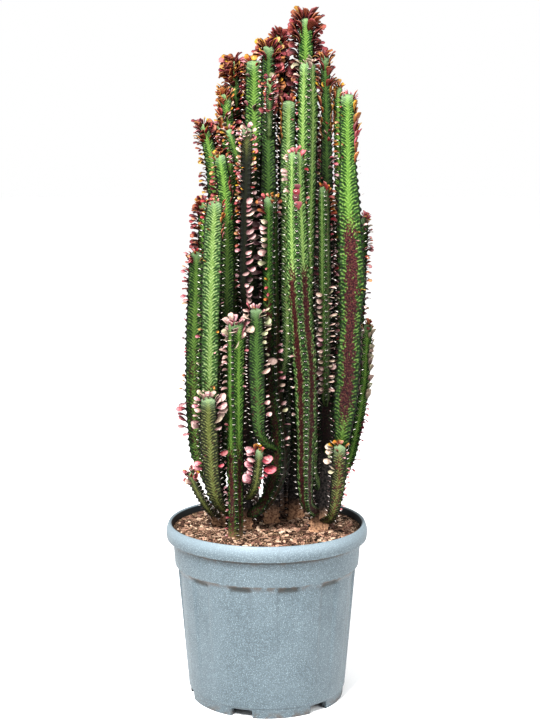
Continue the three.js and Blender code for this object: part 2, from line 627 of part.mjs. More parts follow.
const pottedEuphorbia = new THREE.Group();
pottedEuphorbia.add(meshOf("pot", notchedPot(), "pot"));
pottedEuphorbia.add(meshOf("soil", plantedSoil(), "soil"));
stemBodies().forEach((body, i) => pottedEuphorbia.add(meshOf(STEMS[i].name, body, STEMS[i].tone)));

export default pottedEuphorbia;
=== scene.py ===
# %% [markdown]
# A potted euphorbia, dressed for its render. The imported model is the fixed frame: it gives the place and the
# size of the pot, the soil and every stem. Each cell below makes one kind of piece or one finish over that
# frame. All lengths in this file are in metres, written as a number of millimetres times MM, and the camera
# looks at the front of the plant, along +Y.

# %% Load the frame
import bpy
import json
import numpy as np
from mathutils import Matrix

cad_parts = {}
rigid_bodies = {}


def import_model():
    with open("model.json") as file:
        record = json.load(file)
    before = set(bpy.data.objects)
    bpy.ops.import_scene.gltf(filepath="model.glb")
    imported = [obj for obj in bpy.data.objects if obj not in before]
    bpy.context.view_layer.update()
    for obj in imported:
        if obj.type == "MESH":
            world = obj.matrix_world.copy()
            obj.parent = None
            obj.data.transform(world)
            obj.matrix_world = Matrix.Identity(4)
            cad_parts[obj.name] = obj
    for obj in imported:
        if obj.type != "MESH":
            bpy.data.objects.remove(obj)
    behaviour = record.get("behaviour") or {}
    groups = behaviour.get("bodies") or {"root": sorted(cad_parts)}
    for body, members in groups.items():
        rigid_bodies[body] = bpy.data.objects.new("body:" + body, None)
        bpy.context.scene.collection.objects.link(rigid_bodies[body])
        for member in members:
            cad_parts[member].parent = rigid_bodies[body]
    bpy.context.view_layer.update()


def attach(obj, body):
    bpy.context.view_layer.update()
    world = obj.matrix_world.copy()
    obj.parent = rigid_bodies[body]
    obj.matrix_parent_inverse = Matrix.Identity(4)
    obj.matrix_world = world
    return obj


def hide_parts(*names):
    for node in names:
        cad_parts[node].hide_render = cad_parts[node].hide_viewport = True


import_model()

# %% [markdown]
# Three small helpers come first. The first turns a colour as a painter reads it, an sRGB hex code, into the
# linear numbers that a shader works with. The second adds a node to a material with its settings and its
# links in one call, and hands back an output to link on. The third starts a material from the Principled
# shader, whose own sockets hold every value that is the same all over the surface.

# %% Units, colours and nodes
MM = 0.001
TURN = 2 * np.pi


def rgb(code):
    """Linear colour of an sRGB hex code: below 0.04045 divided by 12.92, above it the 2.4 power curve."""
    shares = np.array([int(code[k:k + 2], 16) for k in (1, 3, 5)]) / 255
    linear = np.where(shares <= 0.04045, shares / 12.92, ((shares + 0.055) / 1.055) ** 2.4)
    return (*linear, 1.0)


# Settings that a node of a kind has unless others are given: numbers are multiplied, ranges ease in and out,
# mixes are of colours, and an attribute is read as a number
USUAL = {
    "Math": {"operation": "MULTIPLY"},
    "VectorMath": {"operation": "MULTIPLY"},
    "MapRange": {"interpolation_type": "SMOOTHSTEP"},
    "Mix": {"data_type": "RGBA"},
    "Attribute": {"out": "Fac"},
}


def add(tree, kind, *values, stops=(), **given):
    """Adds a shader node and gives one of its outputs, by its name or its place among those in use. Values
    fill the inputs in use in their order, settings are inputs or properties by name, and stops are the places
    and colours of a ramp."""
    made = tree.nodes.new("ShaderNode" + kind)
    settings = {"out": 0, **USUAL.get(kind, {}), **given}
    out = settings.pop("out")
    for name, value in settings.items():
        if name not in made.inputs:
            setattr(made, name, value)
    for k, (place, code) in enumerate(stops):
        elements = made.color_ramp.elements
        element = elements[k] if k < 2 else elements.new(place)
        element.position = place
        element.color = rgb(code)
    in_use = [socket for socket in made.inputs if socket.enabled]
    named = [(made.inputs[name], value) for name, value in settings.items() if name in made.inputs]
    for socket, value in [*zip(in_use, values), *named]:
        if isinstance(value, bpy.types.NodeSocket):
            tree.links.new(value, socket)
        else:
            socket.default_value = rgb(value) if isinstance(value, str) else value
    return made.outputs[out] if isinstance(out, str) else [each for each in made.outputs if each.enabled][out]


def new_material(name, ior, roughness, specular=0.5):
    """A material of one Principled shader, given back with its node tree and the shader."""
    material = bpy.data.materials.new(name)
    material.use_nodes = True
    shader = material.node_tree.nodes["Principled BSDF"]
    shader.inputs["IOR"].default_value = ior
    shader.inputs["Roughness"].default_value = roughness
    shader.inputs["Specular IOR Level"].default_value = specular
    return material, material.node_tree, shader


print("the middle grey #808080 is linear", round(rgb("#808080")[0], 3))

# %% [markdown]
# Every new piece is a surface of rows and columns of points, worked out as one numpy array. A skin of this
# kind is closed round its columns and ends in a single point at each end, so it has no open edge. The same
# function gives the faces of one stem, of three hundred leaves or of a thousand bark chips, because a batch
# of equal skins only shifts the point numbers. The arrays go into the mesh with foreach_set, which is quick.

# %% Skins of rows and columns
def skin_faces(count, rows, columns):
    """Faces of equal closed skins. Each has rows x columns points, then its foot point and its tip point."""
    row, column = np.meshgrid(np.arange(rows - 1), np.arange(columns), indexing="ij")
    beside = (column + 1) % columns
    quads = np.stack([row * columns + column, row * columns + beside,
                      (row + 1) * columns + beside, (row + 1) * columns + column], axis=-1).reshape(-1, 4)
    around = np.arange(columns)
    after = (around + 1) % columns
    last = (rows - 1) * columns
    foot = np.full(columns, rows * columns)
    low = np.stack([foot, after, around], axis=-1)
    high = np.stack([foot + 1, last + around, last + after], axis=-1)
    shift = (np.arange(count) * (rows * columns + 2))[:, None, None]
    return (quads + shift).reshape(-1, 4), (np.concatenate([low, high]) + shift).reshape(-1, 3)


def make_piece(name, points, quads, triangles, material, stands_for=(), corner_uv=None, floats=None):
    """Puts a smooth mesh of points and faces into the scene as a piece of the object."""
    mesh = bpy.data.meshes.new(name)
    corners = np.concatenate([quads.ravel(), triangles.ravel()]).astype(np.int32)
    starts = np.concatenate([np.arange(len(quads)) * 4, quads.size + np.arange(len(triangles)) * 3])
    mesh.vertices.add(len(points))
    mesh.loops.add(len(corners))
    mesh.polygons.add(len(starts))
    mesh.vertices.foreach_set("co", np.asarray(points, dtype=np.float32).ravel())
    mesh.loops.foreach_set("vertex_index", corners)
    mesh.polygons.foreach_set("loop_start", starts.astype(np.int32))
    mesh.polygons.foreach_set("use_smooth", np.ones(len(starts), dtype=bool))
    mesh.update(calc_edges=True)
    if corner_uv is not None:
        layer = mesh.uv_layers.new(name="pattern")
        layer.data.foreach_set("uv", np.asarray(corner_uv, dtype=np.float32).ravel())
    for title, values in (floats or {}).items():
        attribute = mesh.attributes.new(title, "FLOAT", "POINT")
        attribute.data.foreach_set("value", np.asarray(values, dtype=np.float32).ravel())
    mesh.materials.append(material)
    piece = bpy.data.objects.new(name, mesh)
    bpy.context.collection.objects.link(piece)
    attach(piece, "root")
    if stands_for:
        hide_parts(*stands_for)
    return piece


def face_count(piece):
    """Triangles of a piece, a four-sided face counting as two."""
    return len(piece.data.loops) - 2 * len(piece.data.polygons)


sample_quads, sample_triangles = skin_faces(1, 5, 6)
print("a skin of 5 rows and 6 columns has", 2 * len(sample_quads) + len(sample_triangles), "triangles")

# %% [markdown]
# The camera stands where the photographer stood: level with the top third of the plant, about 2.4 metres
# away and tipped down by 8.7 degrees, which shows the soil as a narrow ellipse inside the pot's lip. Its
# focal length comes from how large the pot's lip appears. The 36 mm sensor side is the long, upright one.

# %% Camera
CAMERA_PLACE = (5.4 * MM, -2443 * MM, 947 * MM)
CAMERA_TIP = 8.7  # degrees below level
FOCAL_LENGTH = 74.45  # mm
SENSOR_SIDE = 36  # mm

camera = bpy.data.cameras.new("photo_camera")
camera.sensor_fit = "VERTICAL"
camera.sensor_height = SENSOR_SIDE
camera.lens = FOCAL_LENGTH
camera_object = bpy.data.objects.new("photo_camera", camera)
camera_object.location = CAMERA_PLACE
camera_object.rotation_euler = (np.radians(90 - CAMERA_TIP), 0, 0)
bpy.context.collection.objects.link(camera_object)
bpy.context.scene.camera = camera_object
print("camera", CAMERA_PLACE, "lens", FOCAL_LENGTH, "mm")

# %% [markdown]
# The plant is a bush of three-ribbed stems. Eight main stems stand in the soil, and the others spring from
# them or from one another. The table repeats the middle line of each stem from the solid model: path is a
# list of points with the ribs' radius at each, in millimetres. Turn is the direction of the first rib at the
# foot, in degrees from +X, and twist is how many degrees further it has turned at the tip. Parent is the stem
# that a branch springs from, and at is the height of its root there. Leaves come in groups: the kind of leaf,
# the ribs that bear them, the stretch below the tip in millimetres, how many leaves stand at a tooth there on
# average, the length of a leaf, its lowest and highest tint in hundredths, and how many degrees the leaves
# turn aside from their rib. Aged is the stretch below the tip over which a stem's skin is painted darker,
# partly for age and partly as painted shade on stems that stand in the shade, and how much.

# %% Stems
BUSH_FORWARD = 15  # mm by which the table's middle lies in front of the pot's axis
ALL = (0, 1, 2)  # the three ribs
STEMS = {
    "main_tallest": dict(
        tone="green", turn=88, twist=6,
        leaves=[("crown", ALL, 0, 40, 2.4, 27, 2, 36, 0), ("arc", (1,), 12, 110, 3.0, 22, 0, 30, -25),
                ("arc", (2,), 12, 110, 3.0, 22, 0, 30, 25), ("arc", (1, 2), 110, 200, 2.0, 18, 0, 34, 0),
                ("tuft", (1,), 30, 150, 1.4, 18, 0, 45, 0), ("arc", (0,), 45, 260, 1.0, 17, 0, 40, 0),
                ("arc", (2,), 60, 125, 1.2, 19, 30, 95, 0)],
        path=[(48, 58, 205, 17), (52, 52, 400, 15), (58, 42, 650, 15), (61, 26, 900, 15),
              (62, 16, 1060, 15), (62, 15, 1128, 13)]),
    "main_middle": dict(
        tone="dark", turn=80, twist=10, shade_and_age=(290, 470, 0.7),
        leaves=[("crown", ALL, 0, 30, 2.6, 23, 5, 48, 0), ("arc", (1,), 5, 26, 2.4, 19, 0, 40, 0),
                ("arc", (2,), 10, 95, 2.8, 20, 0, 40, 0), ("tuft", (2,), 40, 110, 2.4, 13, 0, 40, 0),
                ("tuft", (2,), 60, 120, 1.2, 14, 70, 100, 0),
                ("ledge", (1,), 238, 430, 1.4, 19, 74, 84, -20)],
        path=[(8, 25, 205, 16), (9, 22, 330, 15), (6, 15, 500, 14), (4, 8, 700, 14), (3, 5, 860, 15),
              (3, 5, 1084, 12)]),
    "main_inner": dict(
        tone="green", turn=92, twist=-4, shade_and_age=(110, 190, 0.8),
        leaves=[("crown", (0,), 0, 16, 2.0, 17, 55, 68, 0), ("crown", (2,), 2, 16, 1.0, 20, 42, 50, 0),
                ("crown", (1,), 0, 12, 2.6, 21, 50, 62, -30), ("tuft", (1,), 6, 130, 1.6, 15, 0, 98, -40),
                ("arc", (1,), 4, 50, 1.2, 12, 5, 90, 0), ("shingle", (1,), 44, 120, 1.0, 17, 42, 54, -35),
                ("arc", (1,), 120, 230, 1.3, 15, 0, 90, 0), ("oval", (2,), 90, 280, 0.8, 12, 30, 90, 0)],
        path=[(-38, -14, 205, 17), (-37, -14, 400, 15), (-30, 0, 550, 15), (-26, 12, 690, 16),
              (-23, 21, 850, 16), (-20, 29, 950, 18), (-20, 30, 1062, 18)]),
    "main_left": dict(
        tone="green", turn=75, twist=12, shade_and_age=(0, 200, 0.45),
        leaves=[("crown", ALL, 0, 30, 2.2, 17, 5, 55, 0), ("tuft", ALL, 0, 30, 1.5, 15, 20, 98, 0),
                ("arc", ALL, 30, 220, 2.0, 15, 0, 60, 0), ("arc", ALL, 200, 330, 0.6, 14, 10, 80, 0)],
        path=[(-78, 12, 205, 16), (-79, 16, 400, 14), (-79, 28, 600, 13), (-84, 32, 800, 13),
              (-90, 30, 905, 13), (-105, 30, 960, 11)]),
    "main_right": dict(
        tone="dark", turn=96, shade_and_age=(60, 260, 0.7),
        leaves=[("crown", ALL, 0, 60, 2.0, 17, 5, 45, 0), ("shingle", (1, 2), 55, 135, 1.0, 17, 28, 48, 0),
                ("arc", ALL, 135, 340, 0.8, 11, 30, 90, 0), ("tuft", (2,), 100, 300, 1.2, 13, 5, 90, 0),
                ("oval", (1, 2), 340, 600, 1.5, 15, 56, 100, 0)],
        path=[(83, -25, 205, 19), (88, -8, 340, 18), (96, 9, 430, 17), (100, 22, 570, 15),
              (98, 22, 710, 14), (97, 10, 900, 11), (93, -2, 1068, 9)]),
    "main_rear_left": dict(
        tone="green", turn=-80, twist=8,
        leaves=[("crown", ALL, 0, 40, 2.2, 18, 0, 45, 0), ("tuft", ALL, 20, 130, 2.0, 15, 0, 90, 0),
                ("arc", ALL, 130, 330, 1.2, 15, 0, 60, 0)],
        path=[(-25, 80, 205, 16), (-28, 84, 500, 14), (-31, 88, 750, 14), (-30, 88, 985, 13)]),
    "main_rear_right": dict(
        tone="green", turn=-95, twist=-8,
        leaves=[("crown", ALL, 0, 40, 2.2, 18, 0, 45, 0), ("tuft", ALL, 20, 140, 1.8, 15, 0, 70, 0),
                ("arc", ALL, 140, 330, 1.2, 15, 0, 60, 0)],
        path=[(35, 106, 205, 16), (33, 100, 500, 14), (30, 92, 800, 14), (29, 86, 1042, 13)]),
    "main_front": dict(
        tone="green", turn=-72, twist=-35,
        leaves=[("crown", ALL, 0, 22, 1.4, 18, 70, 97, 0), ("oval", ALL, 12, 42, 1.4, 19, 80, 100, 0),
                ("ledge", (2,), 36, 112, 1.0, 17, 78, 90, 0), ("arc", (1,), 40, 135, 1.0, 9, 70, 95, 0),
                ("arc", (2,), 135, 400, 0.6, 9, 60, 80, 0)],
        path=[(-50, -62, 205, 14), (-50, -67, 330, 14), (-51, -71, 430, 15), (-51, -74, 520, 16),
              (-50, -74, 648, 16.5)]),
    "branch_front_pale": dict(
        tone="pale", parent="main_right", at=322, turn=-88, twist=-4,
        leaves=[("crown", (1,), 0, 14, 1.6, 15, 60, 66, 0), ("arc", (2,), 0, 75, 1.1, 16, 76, 92, 0),
                ("shingle", (0,), 44, 94, 0.9, 14, 56, 66, 0), ("arc", (1,), 12, 90, 0.6, 11, 50, 70, 0),
                ("arc", (2,), 220, 430, 0.5, 9, 80, 95, 0)],
        path=[(68, -50, 338, 12), (63, -60, 385, 15), (64, -60, 450, 17), (62, -60, 570, 23),
              (55, -60, 650, 22), (51, -60, 710, 22), (48, -60, 790, 19), (46, -58, 917, 15)]),
    "branch_crown_pale": dict(
        tone="pale", parent="main_right", at=350, turn=-90, twist=4,
        leaves=[("crown", ALL, 0, 14, 1.8, 14, 84, 99, 0), ("arc", (2,), 0, 28, 1.3, 16, 90, 100, 0),
                ("arc", ALL, 20, 62, 0.6, 10, 62, 90, 0), ("shingle", (0,), 78, 98, 0.8, 11, 30, 50, 0)],
        path=[(76, -26, 392, 10), (73, -25, 440, 13), (67, -23, 550, 15), (63, -20, 700, 16),
              (64, -18, 840, 18), (66, -16, 980, 19), (66, -15, 1057, 17)]),
    "branch_right_big": dict(
        tone="green", parent="main_right", at=418, turn=84, twist=4,
        leaves=[("crown", ALL, 0, 12, 1.5, 12, 60, 75, 0), ("shingle", (2,), 14, 112, 1.4, 21, 44, 62, 0),
                ("arc", (1,), 14, 110, 0.7, 10, 20, 50, 0), ("arc", (2,), 190, 340, 0.9, 12, 30, 95, 0)],
        path=[(121, -22, 440, 14), (128, -25, 500, 22), (135, -25, 590, 24), (136, -25, 627, 20),
              (138, -25, 700, 25), (135, -25, 790, 23), (131, -25, 850, 21), (130, -25, 910, 15),
              (129, -25, 1007, 15.5)]),
    "branch_front_olive": dict(
        tone="olive", parent="main_inner", at=322, turn=76, twist=8,
        leaves=[("crown", ALL, 0, 20, 0.8, 19, 80, 95, 0), ("oval", (2,), 6, 62, 0.9, 21, 80, 94, 0),
                ("oval", (1,), 6, 52, 1.0, 18, 74, 88, 0), ("oval", (1, 2), 92, 130, 0.5, 19, 62, 70, 0)],
        path=[(-67, -38, 332, 9), (-83, -58, 366, 15), (-91, -68, 450, 18), (-93, -68, 526, 17)]),
    "branch_front_left": dict(
        tone="pale", parent="main_left", at=345, turn=84, twist=6, shade_and_age=(-1, 0, 0.33),
        leaves=[("crown", ALL, 0, 10, 1.2, 9, 50, 62, 0), ("shingle", (2,), 4, 62, 1.4, 12, 50, 60, 0),
                ("arc", (1,), 4, 55, 1.0, 13, 30, 62, 0), ("arc", ALL, 80, 330, 0.25, 10, 30, 90, 0)],
        path=[(-87, -16, 372, 11), (-90, -27, 430, 15), (-92, -38, 560, 18), (-89, -45, 680, 18),
              (-86, -46, 780, 18), (-82, -45, 839, 16)]),
    "branch_far_left": dict(
        tone="green", parent="branch_front_left", at=398, turn=95, shade_and_age=(-1, 0, 0.4),
        leaves=[("crown", ALL, 0, 20, 1.2, 11, 20, 60, 0), ("arc", (1,), 0, 85, 1.7, 13, 52, 70, 0),
                ("arc", ALL, 85, 240, 0.3, 10, 30, 90, 0), ("oval", (1,), 246, 300, 1.0, 23, 64, 78, 0)],
        path=[(-112, -21, 412, 10), (-119, -20, 480, 15), (-120, -22, 560, 16), (-116, -22, 680, 16),
              (-114, -20, 756, 14)]),
    "branch_middle_front": dict(
        tone="dark", parent="main_inner", at=318, turn=-82, twist=6, shade_and_age=(60, 300, 0.4),
        leaves=[("crown", ALL, 0, 12, 1.2, 13, 30, 66, 0), ("arc", (2,), 0, 32, 1.8, 20, 0, 85, 0),
                ("arc", (1,), 0, 42, 1.2, 13, 10, 95, 0), ("ledge", (0,), 40, 116, 1.0, 17, 82, 97, -75),
                ("arc", (0,), 116, 185, 0.8, 11, 46, 58, -60), ("ledge", (2,), 195, 300, 1.0, 18, 70, 84, 0),
                ("oval", (0,), 215, 430, 0.6, 13, 72, 95, 50)],
        path=[(-10, -36, 331, 12), (20, -37, 392, 17), (22, -36, 450, 17), (13, -35, 530, 17),
              (9, -35, 660, 16), (8, -35, 770, 15), (8, -35, 846, 14)]),
    "branch_mid_low": dict(
        tone="dark", parent="branch_middle_front", at=430, turn=88, twist=4, shade_and_age=(-1, 0, 0.2),
        leaves=[("crown", ALL, 0, 20, 1.3, 15, 50, 97, 0), ("oval", (2,), 6, 46, 1.3, 19, 92, 100, 0),
                ("oval", (1,), 4, 40, 1.0, 16, 85, 100, 0), ("arc", (2,), 46, 82, 1.0, 10, 90, 100, 0),
                ("oval", (2,), 82, 110, 1.0, 20, 84, 90, 0), ("oval", (2,), 138, 182, 1.0, 16, 78, 86, 0)],
        path=[(-9, -56, 460, 10), (-14, -63, 510, 15), (-16, -63, 590, 15.5), (-17, -62, 669, 14)]),
    "branch_low_olive": dict(
        tone="olive", parent="main_inner", at=345, turn=82,
        leaves=[("crown", ALL, 0, 12, 1.0, 13, 30, 60, 0), ("oval", (2,), 2, 38, 0.8, 24, 62, 70, 0),
                ("oval", (1,), 4, 60, 1.2, 19, 70, 86, 0), ("oval", ALL, 38, 66, 0.8, 11, 62, 68, 0)],
        path=[(-26, -56, 362, 7), (-16, -72, 388, 9), (-11, -77, 442, 9)]),
    "branch_low_left": dict(
        tone="olive", parent="main_left", at=308, turn=60,
        leaves=[("crown", ALL, 0, 26, 1.3, 14, 10, 90, 0)],
        path=[(-90, -28, 324, 8), (-112, -42, 366, 10), (-125, -45, 398, 9)]),
    "branch_low_right": dict(
        tone="olive", parent="main_right", at=306, turn=85, twist=5,
        leaves=[("crown", ALL, 0, 14, 1.2, 12, 30, 60, 0), ("oval", (1,), 2, 50, 1.5, 17, 90, 100, 0),
                ("arc", (2,), 10, 115, 0.8, 9, 60, 75, 0)],
        path=[(106, -44, 322, 9), (116, -50, 372, 14), (119, -50, 444, 13.5)]),
    "branch_slender_right": dict(
        tone="green", parent="main_right", at=338, turn=70, twist=10,
        leaves=[("crown", ALL, 0, 16, 1.3, 14, 30, 60, 0), ("shingle", (1, 2), 10, 130, 1.2, 15, 90, 100, 0),
                ("arc", (2,), 130, 250, 0.9, 12, 60, 75, 0)],
        path=[(116, 2, 360, 7), (140, 7, 408, 9), (151, 9, 455, 9.5), (162, 10, 525, 9.5),
              (167, 10, 634, 9)]),
    "branch_left_thin": dict(
        tone="green", parent="main_left", at=362, turn=100,
        leaves=[("crown", ALL, 0, 26, 2.2, 15, 2, 50, 0), ("tuft", ALL, 0, 30, 1.4, 13, 20, 90, 0),
                ("arc", (1,), 10, 95, 2.2, 17, 0, 42, 0), ("arc", ALL, 60, 220, 1.0, 14, 0, 60, 0)],
        path=[(-99, 8, 392, 8), (-100, 8, 500, 9.5), (-100, 7, 690, 9.5), (-104, -3, 765, 9.5),
              (-104, -5, 837, 9)]),
    "branch_left_inner": dict(
        tone="green", parent="main_inner", at=356, turn=90, twist=8, shade_and_age=(120, 320, 0.7),
        leaves=[("crown", ALL, 0, 14, 1.4, 12, 20, 60, 0), ("arc", (1,), 8, 150, 1.1, 15, 5, 60, 0),
                ("shingle", (2,), 46, 112, 0.9, 14, 10, 30, 0), ("arc", (2,), 112, 220, 0.6, 12, 60, 85, 0)],
        path=[(-60, -4, 392, 10), (-64, -4, 500, 13), (-65, -7, 658, 14), (-67, -10, 836, 14),
              (-77, -10, 912, 13)]),
    "branch_gold": dict(
        tone="green", parent="main_left", at=430, turn=94,
        leaves=[("crown", ALL, 0, 20, 1.6, 17, 36, 56, 0), ("crown", (1,), 0, 16, 2.0, 22, 43, 50, -30),
                ("shingle", (1,), 0, 66, 1.3, 19, 40, 54, 0), ("tuft", ALL, 14, 110, 2.2, 15, 10, 98, 0),
                ("arc", ALL, 90, 240, 1.5, 15, 0, 90, 0)],
        path=[(-54, 32, 466, 10), (-52, 30, 620, 12), (-57, 25, 800, 13), (-63, 20, 950, 13),
              (-67, 20, 1010, 12)]),
    "branch_small_top": dict(
        tone="dark", parent="main_rear_left", at=650, turn=84,
        leaves=[("crown", ALL, 0, 30, 2.5, 20, 0, 40, 0), ("tuft", ALL, 10, 120, 2.6, 16, 0, 60, 0),
                ("arc", (2,), 0, 70, 3.0, 23, 0, 98, 20), ("arc", (1,), 0, 80, 2.6, 23, 0, 60, -20),
                ("tuft", ALL, 90, 220, 1.8, 15, 5, 98, 0)],
        path=[(-43, 62, 696, 8), (-45, 56, 800, 9), (-48, 54, 950, 9), (-54, 50, 1062, 8.5)]),
    "branch_small_left": dict(
        tone="green", parent="main_left", at=520, turn=80,
        leaves=[("crown", ALL, 0, 20, 2.2, 16, 30, 90, 0), ("tuft", ALL, 5, 90, 2.4, 15, 5, 98, 0),
                ("arc", ALL, 80, 260, 1.6, 14, 0, 90, 0)],
        path=[(-76, 58, 580, 8), (-76, 62, 700, 9), (-76, 60, 850, 10), (-79, 52, 960, 9)]),
    "branch_diagonal": dict(
        tone="green", parent="main_inner", at=856, turn=90, shade_and_age=(0, 60, 0.4),
        leaves=[("crown", ALL, 0, 12, 2.2, 14, 30, 90, 0), ("arc", ALL, 12, 95, 1.2, 11, 20, 90, 0)],
        path=[(-42, 3, 890, 8), (-54, 3, 926, 9), (-62, 2, 952, 8.5)]),
    "branch_olive_top": dict(
        tone="olive", parent="main_inner", at=640, turn=86, shade_and_age=(5, 60, 0.93),
        leaves=[("tuft", ALL, 0, 26, 2.4, 12, 70, 100, 0), ("oval", (1, 2), 18, 110, 1.6, 11, 30, 95, 0),
                ("ledge", (2,), 108, 285, 1.0, 21, 75, 84, -30), ("arc", (1,), 60, 200, 1.2, 12, 0, 90, 0)],
        path=[(-36, -20, 694, 8), (-34, -22, 800, 10), (-31, -20, 954, 10)]),
    "branch_gold_column": dict(
        tone="pale", parent="main_middle", at=522, turn=90, shade_and_age=(-1, 0, 0.35),
        leaves=[("crown", ALL, 0, 12, 1.5, 14, 50, 70, 0), ("shingle", (1,), 2, 72, 1.0, 15, 38, 52, 0),
                ("arc", (2,), 10, 125, 0.5, 9, 55, 75, 0)],
        path=[(29, -8, 570, 10), (33, -10, 700, 13), (34, -10, 854, 14.5), (35, -10, 997, 14)]),
    "branch_small_inner": dict(
        tone="pale", parent="main_middle", at=930, turn=95, shade_and_age=(0, 30, 0.6),
        leaves=[("tuft", (0, 2), 0, 60, 3.4, 13, 0, 30, 0), ("tuft", (0, 2), 0, 40, 1.8, 14, 60, 100, 0)],
        path=[(4, -17, 962, 6), (5, -24, 998, 7.5), (5, -25, 1032, 7)]),
    "branch_dark_cluster": dict(
        tone="dark", parent="main_middle", at=452, turn=100,
        leaves=[("crown", ALL, 0, 30, 2.5, 18, 0, 28, 0), ("tuft", ALL, 10, 150, 2.8, 16, 0, 34, 0),
                ("arc", ALL, 130, 260, 1.4, 15, 0, 60, 0)],
        path=[(24, 42, 505, 8), (27, 42, 700, 9.5), (24, 38, 950, 9), (20, 35, 1105, 8.5)]),
    "branch_right_thin": dict(
        tone="green", parent="main_right", at=470, turn=92,
        leaves=[("crown", ALL, 0, 12, 1.4, 13, 40, 70, 0), ("shingle", (1,), 10, 78, 0.9, 16, 28, 50, 0),
                ("arc", (2,), 12, 115, 1.4, 13, 25, 55, 0), ("arc", (1, 2), 115, 300, 0.4, 11, 30, 90, 0)],
        path=[(113, 37, 512, 8), (123, 38, 600, 9), (124, 36, 680, 9), (120, 20, 820, 9),
              (116, 10, 934, 9), (115, 8, 1021, 8.5)]),
    "branch_pale_tip": dict(
        tone="pale", parent="main_right", at=492, turn=-86, shade_and_age=(-1, 0, 0.3),
        leaves=[("crown", ALL, 0, 12, 1.2, 12, 50, 66, 0), ("arc", (1,), 8, 62, 1.0, 15, 46, 62, 0),
                ("arc", (1, 2), 62, 150, 0.8, 9, 60, 95, 0), ("oval", (0,), 165, 340, 1.2, 16, 86, 96, 45),
                ("ledge", (0,), 172, 340, 1.0, 15, 80, 94, -50)],
        path=[(97, -14, 536, 9), (96, -17, 620, 11), (95, -17, 707, 11.5), (93, -17, 861, 11)]),
    "branch_right_hidden": dict(
        tone="dark", parent="main_right", at=368, turn=75,
        leaves=[("crown", ALL, 0, 30, 1.4, 13, 10, 95, 0), ("arc", (1, 2), 26, 115, 1.3, 12, 20, 95, 0),
                ("oval", ALL, 110, 330, 0.6, 12, 35, 95, 0)],
        path=[(122, 24, 396, 8), (138, 36, 450, 10), (150, 42, 545, 10), (157, 40, 670, 10),
              (161, 36, 808, 9)]),
    "branch_left_hidden": dict(
        tone="dark", parent="main_left", at=340, turn=100,
        leaves=[("crown", ALL, 0, 40, 1.8, 15, 5, 50, 0), ("arc", ALL, 40, 260, 0.8, 12, 10, 70, 0)],
        path=[(-104, 26, 372, 9), (-116, 34, 470, 11), (-120, 36, 600, 11), (-120, 34, 700, 10)]),
}
print(len(STEMS), "stems described one by one")

# %% [markdown]
# The back of the bush isn't seen in the photograph. Twelve more branches fill it to an even depth, in the
# habit of the ones in front. They all bear the same two groups of leaves, so a shorter table and a loop are
# enough for them.

# %% Branches at the back
BACK_LEAVES = [("crown", ALL, 0, 40, 2.0, 17, 0, 50, 0), ("arc", ALL, 40, 260, 0.9, 14, 5, 85, 0)]
# Tone, parent, height of the root on it, turn and path
BACK_BRANCHES = [
    ("green", "main_tallest", 352, 20,
     [(82, 66, 388, 9), (90, 66, 500, 11), (90, 62, 750, 12), (88, 54, 932, 11)]),
    ("green", "main_rear_right", 344, -70,
     [(66, 106, 380, 10), (76, 106, 500, 12), (78, 102, 740, 13), (76, 98, 902, 12)]),
    ("dark", "main_tallest", 314, 30,
     [(98, 82, 350, 10), (116, 82, 460, 12), (121, 78, 660, 13), (118, 74, 798, 12)]),
    ("green", "main_middle", 372, 60,
     [(-2, 52, 410, 9), (-4, 56, 560, 10), (-4, 52, 800, 11), (-2, 46, 948, 10)]),
    ("green", "main_rear_left", 342, -100,
     [(-62, 96, 378, 10), (-73, 100, 500, 12), (-74, 98, 700, 13), (-71, 94, 862, 12)]),
    ("dark", "main_left", 318, 150,
     [(-96, 50, 362, 9), (-108, 70, 450, 12), (-112, 74, 600, 13), (-108, 70, 758, 12)]),
    ("green", "main_rear_right", 318, 90,
     [(10, 126, 352, 10), (2, 134, 440, 12), (1, 134, 560, 13), (2, 130, 702, 12)]),
    ("green", "main_rear_left", 314, 95,
     [(-42, 116, 344, 9), (-50, 132, 420, 11), (-52, 134, 500, 12), (-50, 132, 572, 11)]),
    ("dark", "main_rear_right", 332, 85,
     [(50, 134, 368, 9), (52, 143, 450, 11), (52, 144, 540, 12), (51, 141, 624, 11)]),
    ("olive", "main_rear_right", 300, 40,
     [(82, 126, 334, 8), (101, 126, 390, 10), (103, 126, 460, 11), (101, 124, 522, 10)]),
    ("olive", "main_rear_left", 300, 140,
     [(-72, 104, 326, 8), (-98, 108, 370, 10), (-105, 108, 430, 10), (-102, 106, 484, 9.5)]),
    ("green", "branch_back_3", 396, 10,
     [(138, 74, 425, 8), (147, 71, 470, 10), (147, 70, 528, 9.5)]),
]
for number, (tone, parent, at, turn, path) in enumerate(BACK_BRANCHES, start=1):
    STEMS[f"branch_back_{number}"] = dict(
        tone=tone, parent=parent, at=at, turn=turn, leaves=BACK_LEAVES, path=path)
rooted = sum("parent" not in stem for stem in STEMS.values())
print(len(STEMS), "stems in all, of which", rooted, "stand in the soil")

# %% [markdown]
# A stem's middle line is a centripetal Catmull-Rom curve, which passes through every point of the table
# without looping. Each piece of it is a cubic between two points, whose slopes there come from the points on
# either side, spaced by the square root of their distances. The curve is sampled finely once, and everything
# on the stem is then placed by its distance along that line.

# %% Middle lines
STEPS = 40  # samples in each piece of a curve
SLOPE_REACH = 2 * MM  # to either side of a point, for the direction of the line there


def unit(vectors):
    """The same directions, each with length 1."""
    return vectors / np.linalg.norm(vectors, axis=-1, keepdims=True)


